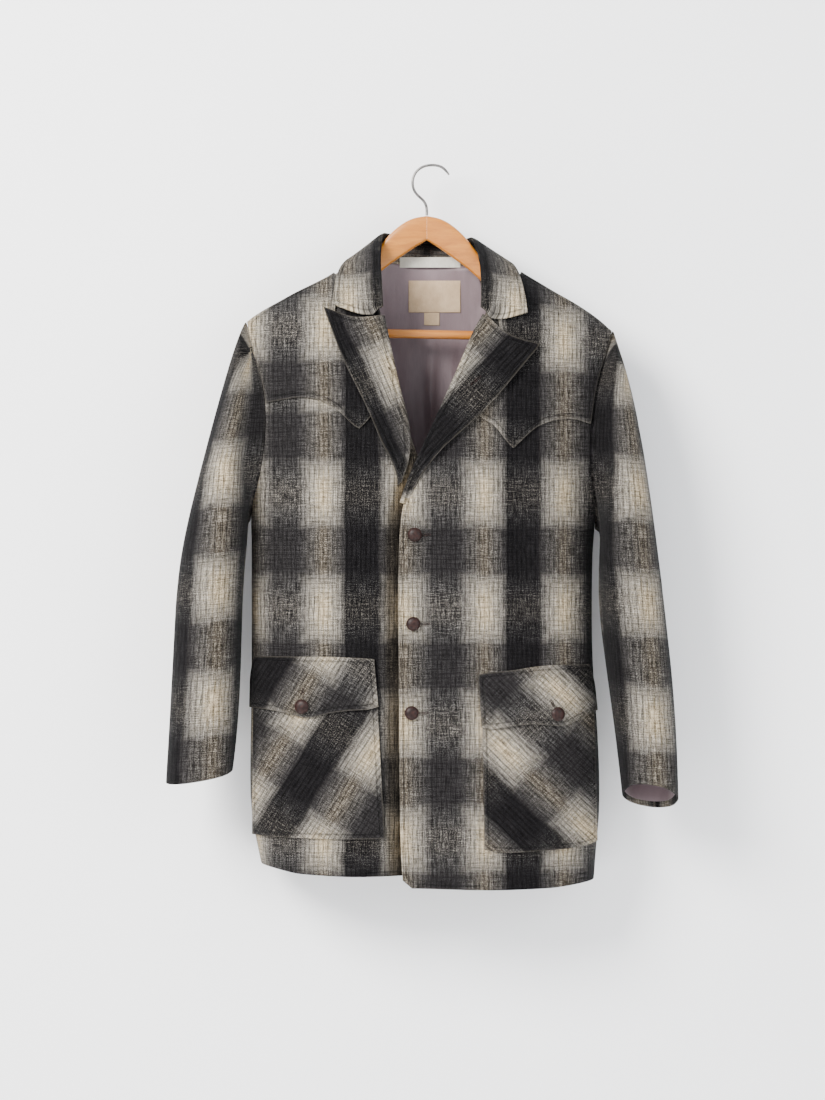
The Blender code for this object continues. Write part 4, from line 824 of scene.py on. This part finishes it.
def collar_grain(points):
    """Along the collar's fold, and away from it."""
    knots = np.stack([FOLD["x"], FOLD["y"], FOLD["z"]], axis=1)
    steps = np.linalg.norm(np.diff(knots, axis=0), axis=1)
    start = np.concatenate([[0], np.cumsum(steps)])
    best = np.full(len(points), 1e9)
    run = np.zeros(len(points))
    for i, step in enumerate(steps):
        way = (knots[i + 1] - knots[i]) / step
        t = np.clip((points - knots[i]) @ way, 0, step)
        gap = np.linalg.norm(points - knots[i] - t[:, None] * way, axis=1)
        run = np.where(gap < best, start[i] + t, run)
        best = np.minimum(best, gap)
    middle = start[-1] / 2
    return np.stack([best + 0.03, np.abs(run - middle) - 0.098], axis=1)


# %% [markdown]
# ## The grain of pockets and flaps
# The patch pockets and their flaps are cut on the bias, which spares the tailor matching
# them to the fronts: their checks stand on a corner. Each row gives how far the grain is
# turned, in degrees, and where a dark crossing lies.

# %%
BIAS = table(
    "name turn dark_x dark_z",
    ("pocket_right", 32.0, -0.1606, -0.7982),
    ("flap_right", 32.0, -0.2132, -0.6617),
    ("pocket_left", -46.0, 0.1113, -0.8510),
    ("flap_left", -46.0, 0.1113, -0.8510),
)


def bias_grain(name):
    """A slanted grain with a charcoal crossing at a stated place."""
    row = list(BIAS["name"]).index(name)
    turn = math.radians(float(BIAS["turn"][row]))
    middle = np.array([float(BIAS["dark_x"][row]), float(BIAS["dark_z"][row])])

    def grain(points):
        x, z = points[:, 0] - middle[0], points[:, 2] - middle[1]
        u = x * math.cos(turn) - z * math.sin(turn) + 0.11 * WARP_REPEAT
        v = -x * math.sin(turn) - z * math.cos(turn) + 0.19 * WEFT_REPEAT
        return np.stack([u, v], axis=1)

    return grain


# %% [markdown]
# ## Creases
# Wool of this weight falls in few, soft folds. A simulation would put them where it likes,
# and a noise would look like orange peel, so they are listed one by one. Each row is one: a line
# from its top to its foot, its half width, and how far it rises; a trough has a negative
# rise. They are uneven on purpose, and the back and both sleeves have as many as the front.

# %%
FRONT_CREASES = table(
    "top_x top_z foot_x foot_z wide rise",
    (-0.150, -0.300, -0.128, -0.560, 0.020, 0.0026),
    (-0.176, -0.340, -0.160, -0.640, 0.016, -0.0030),
    (-0.120, -0.560, -0.112, -0.900, 0.030, 0.0022),
    (-0.070, -0.420, -0.062, -0.760, 0.014, -0.0016),
    (-0.196, -0.660, -0.190, -0.905, 0.020, -0.0025),
    (0.020, -0.380, 0.030, -0.700, 0.022, 0.0020),
    (0.118, -0.330, 0.110, -0.600, 0.018, -0.0026),
    (0.160, -0.320, 0.146, -0.520, 0.022, 0.0030),
    (0.070, -0.700, 0.078, -0.915, 0.026, -0.0020),
    (0.190, -0.560, 0.196, -0.900, 0.020, 0.0025),
    (-0.030, -0.760, -0.028, -0.920, 0.020, 0.0015),
)
BACK_CREASES = table(
    "top_x top_z foot_x foot_z wide rise",
    (-0.140, -0.260, -0.070, -0.470, 0.018, -0.0035),
    (0.130, -0.270, 0.062, -0.450, 0.020, -0.0030),
    (-0.090, -0.420, -0.104, -0.890, 0.026, 0.0045),
    (-0.020, -0.500, -0.030, -0.915, 0.022, -0.0040),
    (0.080, -0.440, 0.100, -0.905, 0.030, 0.0040),
    (0.160, -0.520, 0.172, -0.880, 0.018, -0.0032),
    (-0.180, -0.560, -0.190, -0.900, 0.020, 0.0030),
    (0.020, -0.180, 0.012, -0.360, 0.034, -0.0022),
)
SLEEVE_CREASES = table(
    "side top_x top_z foot_x foot_z wide rise",
    (-1, -0.258, -0.440, -0.318, -0.500, 0.012, -0.0030),
    (-1, -0.262, -0.500, -0.330, -0.590, 0.012, 0.0032),
    (-1, -0.306, -0.510, -0.312, -0.690, 0.008, -0.0045),
    (-1, -0.268, -0.640, -0.322, -0.600, 0.010, -0.0022),
    (-1, -0.280, -0.620, -0.286, -0.780, 0.014, 0.0028),
    (1, 0.262, -0.330, 0.222, -0.420, 0.012, -0.0028),
    (1, 0.226, -0.480, 0.290, -0.560, 0.012, 0.0030),
    (1, 0.222, -0.520, 0.262, -0.790, 0.009, -0.0042),
    (1, 0.236, -0.560, 0.300, -0.640, 0.013, -0.0026),
    (1, 0.268, -0.620, 0.292, -0.780, 0.014, 0.0028),
)
LINING_CREASES = table(
    "top_x top_z foot_x foot_z wide rise",
    (0.004, -0.215, 0.006, -0.520, 0.0055, 0.0065),
    (-0.022, -0.210, -0.026, -0.470, 0.010, 0.0035),
    (0.026, -0.220, 0.034, -0.480, 0.009, 0.0045),
    (-0.046, -0.240, -0.040, -0.460, 0.008, 0.0030),
    (0.050, -0.280, 0.048, -0.560, 0.010, 0.0030),
    (-0.090, -0.320, -0.096, -0.860, 0.016, 0.0040),
    (0.094, -0.300, 0.086, -0.860, 0.018, 0.0045),
)


def crease_height(rows, x, z, pick=None):
    """The summed height of the creases at (x, z)."""
    total = np.zeros(len(x))
    for i in range(len(rows["rise"])):
        if pick is not None and rows["side"][i] != pick:
            continue
        top = np.array([rows["top_x"][i], rows["top_z"][i]])
        foot = np.array([rows["foot_x"][i], rows["foot_z"][i]])
        way = foot - top
        long = np.linalg.norm(way)
        way = way / long
        run = (x - top[0]) * way[0] + (z - top[1]) * way[1]
        off = (x - top[0]) * -way[1] + (z - top[1]) * way[0]
        bend = off + 0.006 * np.sin(run / long * 5 + i)
        share = np.clip(run / long, 0, 1)
        body = np.sin(math.pi * share) ** 1.2
        total += rows["rise"][i] * body * np.exp(-((bend / rows["wide"][i]) ** 2))
    return total


def side_fade(points):
    """1 on the broad of the body, 0 at its side seams, shoulders and front edges."""
    x = np.abs(points[:, 0] - MID_X)
    wide = 1 - ease(x, 0.165, 0.215)
    high = 1 - ease(points[:, 2], -0.24, -0.19)
    return wide * high


def front_push(points):
    rise = crease_height(FRONT_CREASES, points[:, 0], points[:, 2])
    rise = rise * side_fade(points)
    return np.stack([rise * 0, -rise, rise * 0], axis=1)


def back_push(points):
    rise = crease_height(BACK_CREASES, points[:, 0], points[:, 2])
    rise = rise * side_fade(points)
    return np.stack([rise * 0, rise, rise * 0], axis=1)


def sleeve_push(side):
    """Creases that rise from the arm's middle line, most of them on its front."""
    def push(points):
        z = points[:, 2]
        rise = crease_height(SLEEVE_CREASES, points[:, 0], z, side)
        out = (points[:, 0] - sleeve_middle(side, z)) * 0.6
        away = np.stack([out, points[:, 1] - ARM_Y, z * 0], axis=1)
        away = away / np.linalg.norm(away, axis=1, keepdims=True)
        front = np.where(points[:, 1] < -0.03, 1.0, -0.7)
        fade = (1 - ease(z, -0.36, -0.30)) * ease(z, -0.82, -0.77)
        return away * (rise * fade * front)[:, None]

    return push


# %% [markdown]
# ## The lining and the left lapel's foot
# The satin lining is fuller than the back: it has a pleat in the middle, and its top edge is
# sewn in under the collar. Its creases rise towards the front, it keeps clear of the wool at
# the shoulders, and its edge is lifted up to the neck seam, behind the hanging loop. The
# left lapel's foot is thinned into the front, because there the two are one cloth.

# %%
LIFT = 0.029  # how far the lining's edge goes up at the neck


def lining_push(points):
    """Pleats towards the front; clear of the back at the shoulders."""
    rise = crease_height(LINING_CREASES, points[:, 0], points[:, 2])
    wide = ease(np.abs(points[:, 0] - MID_X), 0.055, 0.080)
    high = ease(points[:, 2], -0.30, -0.24) * wide
    clear = 0.0005 * wide + 0.0018 * high
    return back_push(points) - np.stack([rise * 0, rise + clear, 0.003 * high], axis=1)


def nearest_y(trees, x, z):
    """Where a line from the front meets the first of some pieces, or None."""
    hits = [tree.ray_cast(Vector((x, -0.02, z)), Vector((0, 1, 0)))[0] for tree in trees]
    return min((hit.y for hit in hits if hit is not None), default=None)


def to_neck_seam(thing, covers):
    """The lining's top edge lifted behind the hanging loop, in front of back and collar."""
    deps = bpy.context.evaluated_depsgraph_get()
    trees = [BVHTree.FromObject(cover, deps) for cover in covers]
    points = points_of(thing.data)
    for i, (x, y, z) in enumerate(points):
        lift = LIFT * ease(z, -0.192, -0.157) * (1 - ease(abs(x - MID_X), 0.062, 0.078))
        if lift > 0.0005:
            wall, before = nearest_y(trees, x, z + lift), nearest_y(trees, x, z)
            if wall is not None and before is not None:
                points[i] = (x, wall - min(max(before - y, 0.0006), 0.0024), z + lift)
    put_points(thing.data, points)


def melt(thing, cover, start, end):
    """A lapel's foot thinned until it lies in the front's own surface."""
    tree = BVHTree.FromObject(cover, bpy.context.evaluated_depsgraph_get())
    points = points_of(thing.data)
    for i, (x, y, z) in enumerate(points):
        share = float(ease(-z, start, end))
        hit = tree.ray_cast(Vector((x, -0.3, z)), Vector((0, 1, 0)))[0] if share > 0 else None
        if hit is not None and y < hit.y:
            points[i][1] = hit.y + (y - hit.y) * (1 - 0.94 * share)
    put_points(thing.data, points)


# %% [markdown]


# %% [markdown]
# ## Fronts, sleeves and what lies on them
# The left front laps over the right one, so it comes first and the right one takes from it
# the strip where painted shade lies under the overlap. Yokes, pockets, flaps and lapels lie on
# the fronts with stitched, rolled edges, and yokes, pockets and flaps share the fronts'
# creases. One loop makes both sides from the same recipe, and only the tables make them differ.

# %%
FOOT_MELTS = (0.385, 0.438)  # from where to where the left lapel thins out


def front_edge(place):
    """Whether a point of a front's rim is on its free edge, not on a seam."""
    x, _, z = place
    return abs(x - MID_X) < 0.075 and (x < 0.03 or z < -0.45)


made = {}
for side, hand in ((1, "left"), (-1, "right")):
    name = f"front_{hand}"
    # the right front takes painted shade in the strip that the left front overlaps
    finish, cover = (EDGED_WOOL, None) if side > 0 else (OVERLAP_SHADED_WOOL, made["front_left"])
    made[name] = cloth(
        name, WALLS["front"], "plaid_wool", finish, body_grain, front_push, True, front_edge,
        cover=cover,
    )
    for part in ("top", "under"):
        name = f"{part}_sleeve_{hand}"
        made[name] = cloth(
            name, WALLS[part], "plaid_wool", WOOL, sleeve_grain(side), sleeve_push(side)
        )
    name = f"yoke_{hand}"
    made[name] = cloth(
        name, WALLS["yoke"], "plaid_wool", EDGED_WOOL, yoke_grain(side), front_push, True
    )
    for part in ("pocket", "flap"):
        name = f"{part}_{hand}"
        made[name] = cloth(
            name, WALLS[part], "plaid_wool", EDGED_WOOL, bias_grain(name), front_push, True
        )
    name = f"lapel_{hand}"
    made[name] = cloth(
        name, WALLS["lapel"], "plaid_wool", EDGED_WOOL, lapel_grain(side), None, True
    )
    if side > 0:
        melt(made[name], made["front_left"], *FOOT_MELTS)
    name = f"cuff_lining_{hand}"
    made[name] = cloth(name, WALLS["cuff"], "mauve_satin", SATIN, None, sleeve_push(side))

# %% [markdown]
# ## Back, collar, lining and ribbons
# The back is one panel that carries the fronts' plaid on round the sides. The collar has a
# stitched edge like the lapels'. The lining is thin and has narrow pleats, so it gets one
# more level of smoothing. The ribbons lie on it, bare.

# %%
made["back"] = cloth("back", WALLS["back"], "plaid_wool", WOOL, body_grain, back_push)
made["collar"] = cloth(
    "collar", WALLS["collar"], "plaid_wool", EDGED_WOOL, collar_grain, None, True
)
made["lining_back"] = cloth(
    "lining_back", WALLS["lining"], "mauve_satin", SATIN, None, lining_push, levels=3
)
to_neck_seam(made["lining_back"], [made["back"], made["collar"]])
for name in ("hanging_loop", "label", "size_tab"):
    ribbon = RIBBON if name == "hanging_loop" else TAN_RIBBON
    made[name] = cloth(name, 1.0, "cream_ribbon", ribbon)


# %% [markdown]
# ## The hard pieces
# Buttons, wood and wire don't fold. They could be made anew from curves and lathed outlines,
# but the solids already have their true sections, so they are only smoothed, with their
# sharp edges held. The hanger's two arms meet in a hairline joint in the middle, where the
# ends are brought together until no light falls through.

# %%
ARMS_MEET = -0.0065
HAIRLINE = 0.00006


def smoothed(node, slot, finish, levels=2, hold=1.1, crease=0.7):
    """A finer copy of a hard piece, with its sharp edges held."""
    bm = quads_of(node)
    layer = bm.edges.layers.float.new("crease_edge")
    for edge in bm.edges:
        if edge.calc_face_angle(0.0) > hold:
            edge[layer] = crease
    thing = subdivided(bm, piece_name(node), levels)
    bm = bmesh.new()
    bm.from_mesh(thing.data)
    for face in bm.faces:
        face.smooth = True
    for edge in bm.edges:
        edge.smooth = edge.calc_face_angle(0.0) < 0.8
    bm.to_mesh(thing.data)
    bm.free()
    return stand_in(thing, node, slot, finish)


for name in ("button_top", "button_middle", "button_bottom", "flap_button_left",
             "flap_button_right"):
    made[name] = smoothed(name, "dark_leather", BUTTON)
for name in ("hanger_left", "hanger_right", "hanger_bar"):
    made[name] = smoothed(name, "beech", WOOD, 2, 1.0, 1.0)
for name, side in (("hanger_left", 1), ("hanger_right", -1)):
    points = points_of(made[name].data)
    ends = np.abs(points[:, 0] - ARMS_MEET) < 0.0004
    points[ends, 0] = ARMS_MEET + side * HAIRLINE
    put_points(made[name].data, points)
made["hanger_hook"] = smoothed("hanger_hook", "hook_steel", WIRE, 1)

# %% [markdown]
# ## Buttonholes
# A buttonhole is a slit bound with close dark stitches, which stand up from the cloth as a
# narrow ring. Hundreds of stitches could be modelled, but from a step away they read as one
# cord, so each is a thin tube, a little uneven, laid on its piece by rays from the front. It
# lies beside the button that went through it. The left lapel has one of its own, and the
# right one a small knot of thread.

# %%
TURNS, SIDES = 28, 6  # the steps round a ring and round its tube
TUBE = 0.00055  # the tube's radius
STAND_OFF = 0.0005  # how far its middle stands off the cloth
STITCHED = table(
    "name on x0 z0 x1 z1 wide",
    ("buttonhole_top", "front_left", -0.0137, -0.4835, -0.0018, -0.4835, 0.0021),
    ("buttonhole_middle", "front_left", -0.0143, -0.5980, -0.0030, -0.5980, 0.0021),
    ("buttonhole_bottom", "front_left", -0.0163, -0.7124, -0.0050, -0.7124, 0.0021),
    ("buttonhole_flap_right", "flap_right", -0.1664, -0.6810, -0.1664, -0.6930, 0.0023),
    ("buttonhole_flap_left", "flap_left", 0.1532, -0.6960, 0.1562, -0.7045, 0.0023),
    ("buttonhole_lapel", "lapel_left", 0.0500, -0.2899, 0.0624, -0.2795, 0.0024),
    ("thread_lapel", "lapel_right", -0.0562, -0.2680, -0.0544, -0.2712, 0.0013),
)


def mesh_piece(name, points, faces, finish):
    mesh = bpy.data.meshes.new(name)
    mesh.from_pydata(points, [], faces)
    mesh.materials.append(finish)
    return placed(name, mesh)


def stitched_ring(name, on, start, end, wide):
    """A low ring of stitches round a slit, laid on the piece."""
    tree = BVHTree.FromObject(made[on], bpy.context.evaluated_depsgraph_get())
    start, end = np.array(start), np.array(end)
    way = (end - start) / np.linalg.norm(end - start)
    side = np.array([-way[1], way[0]])
    turns = np.linspace(0, 2 * math.pi, TURNS, endpoint=False)
    middle = (start + end) / 2
    half = np.linalg.norm(end - start) / 2
    rows = []
    for i, turn in enumerate(turns):
        c, d = math.cos(turn), math.sin(turn)
        out = np.sign(c) * abs(c) ** 0.55 * half * way + d * wide / 2 * side
        out = out * (1 + 0.05 * math.sin(i * 2.3))
        x, z = middle + out
        hit = tree.ray_cast(Vector((x, -0.3, z)), Vector((0, 1, 0)))[0]
        beyond = out / max(np.linalg.norm(out), 1e-6)
        bump = TUBE * (1 + 0.15 * math.sin(i * 3.7))
        for a in np.arange(SIDES) * 2 * math.pi / SIDES:
            r, h = bump * math.cos(a), bump * math.sin(a)
            rows.append((x + beyond[0] * r, hit.y - STAND_OFF - h, z + beyond[1] * r))
    faces = []
    for i in range(TURNS):
        here, there = i * SIDES, (i + 1) % TURNS * SIDES
        for k in range(SIDES):
            after = (k + 1) % SIDES
            faces.append((here + k, here + after, there + after, there + k))
    thing = mesh_piece(name.replace("_", "-"), rows, faces, THREAD)
    mesh = thing.data
    for face in mesh.polygons:
        face.use_smooth = True
    bm = bmesh.new()
    bm.from_mesh(mesh)
    bmesh.ops.recalc_face_normals(bm, faces=bm.faces)
    bm.to_mesh(mesh)
    bm.free()
    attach(thing, "root")
    print(f"{thing.name}: {len(mesh.polygons)} faces")
    return thing


for name, on, x0, z0, x1, z1, wide in zip(*(STITCHED[key] for key in STITCHED)):
    stitched_ring(str(name), str(on), (float(x0), float(z0)), (float(x1), float(z1)), float(wide))

# %% [markdown]
# ## The wall
# The coat hangs against a pale painted wall. One flat sheet would do, but painted plaster is
# never one colour, so it has faint clouds and a fine bump. Seen from behind it is clear, so
# that the coat's back can be looked at.

# %%
WALL_Y = 0.056
LOW, HIGH, FAR_SIDE, NEAR = -1.75, 1.6, 3.0, -4.0  # how far the wall and the floor reach


def wall_material():
    made, net, shader = new_material("pale wall", None)
    place = net.node("ShaderNodeTexCoord").outputs["Object"]
    cloud = net.noise(place, 3.0, 3.0)
    color = net.ramp(cloud, ((0.3, (0.93, 0.93, 0.935)), (0.7, (0.95, 0.95, 0.952))))
    net.set(shader.inputs["Base Color"], color)
    net.set(shader.inputs["Normal"], net.bump(net.noise(place, 260.0, 2.0), 0.0005, 0.15))
    shader.inputs["Roughness"].default_value = 0.9
    back = net.node("ShaderNodeNewGeometry").outputs["Backfacing"]
    clear = net.node("ShaderNodeBsdfTransparent").outputs[0]
    both = net.node("ShaderNodeMixShader")
    net.set(both.inputs[0], back)
    net.set(both.inputs[1], shader.outputs[0])
    net.set(both.inputs[2], clear)
    net.set(made.node_tree.nodes["Material Output"].inputs["Surface"], both.outputs[0])
    return made


PALE_WALL = wall_material()
foot_left, foot_right = (-FAR_SIDE, WALL_Y, LOW), (FAR_SIDE, WALL_Y, LOW)
top_left, top_right = (-FAR_SIDE, WALL_Y, HIGH), (FAR_SIDE, WALL_Y, HIGH)
near_left, near_right = (-FAR_SIDE, NEAR, LOW), (FAR_SIDE, NEAR, LOW)
corners = (0, 1, 2, 3)
wall = mesh_piece("wall", [foot_left, foot_right, top_right, top_left], [corners], PALE_WALL)
floor = mesh_piece("floor", [foot_left, near_left, near_right, foot_right], [corners], PALE_WALL)

# %% [markdown]
# ## Light
# Soft daylight falls from a window high on the left, which a broad lamp stands for, and the
# room throws some of it back from the right. A bare sun would draw hard shadows that the
# picture doesn't have, so the rest comes evenly from all sides.

# %%

def lamp(name, place, aim, size, power, color):
    light = bpy.data.lights.new(name, "AREA")
    light.shape = "DISK"
    light.size = size
    light.energy = power
    light.color = color
    thing = placed(name, light)
    thing.location = place
    way = Vector(aim) - Vector(place)
    thing.rotation_euler = way.to_track_quat("-Z", "Y").to_euler()


lamp("window", (-1.9, -2.4, 1.1), (0, 0, -0.45), 1.6, 330.0, (1.0, 0.985, 0.96))
lamp("room", (2.2, -2.6, 0.2), (0, 0, -0.5), 2.4, 62.0, (0.94, 0.97, 1.0))

world = bpy.data.worlds.new("room light")
world.use_nodes = True
world.node_tree.nodes["Background"].inputs["Color"].default_value = (0.80, 0.82, 0.86, 1.0)
world.node_tree.nodes["Background"].inputs["Strength"].default_value = 1.4
bpy.context.scene.world = world

# %% [markdown]
# ## The camera
# The picture has no perspective to speak of, so the camera stands far away with a long lens,
# level with the middle of the coat. The lens is worked out from how high the view is at the
# coat's fronts.

# %%
CAMERA_FAR = 5.0
VIEW_HIGH = 1.43
SHARP_Y = -0.045
lens = bpy.data.cameras.new("long lens")
lens.sensor_width = 36.0
lens.lens = 36.0 * (CAMERA_FAR + SHARP_Y) / VIEW_HIGH
camera = placed("camera", lens)
camera.location = (-0.02535, -CAMERA_FAR, -0.5031)
camera.rotation_euler = (math.pi / 2, 0, 0)
bpy.context.scene.camera = camera
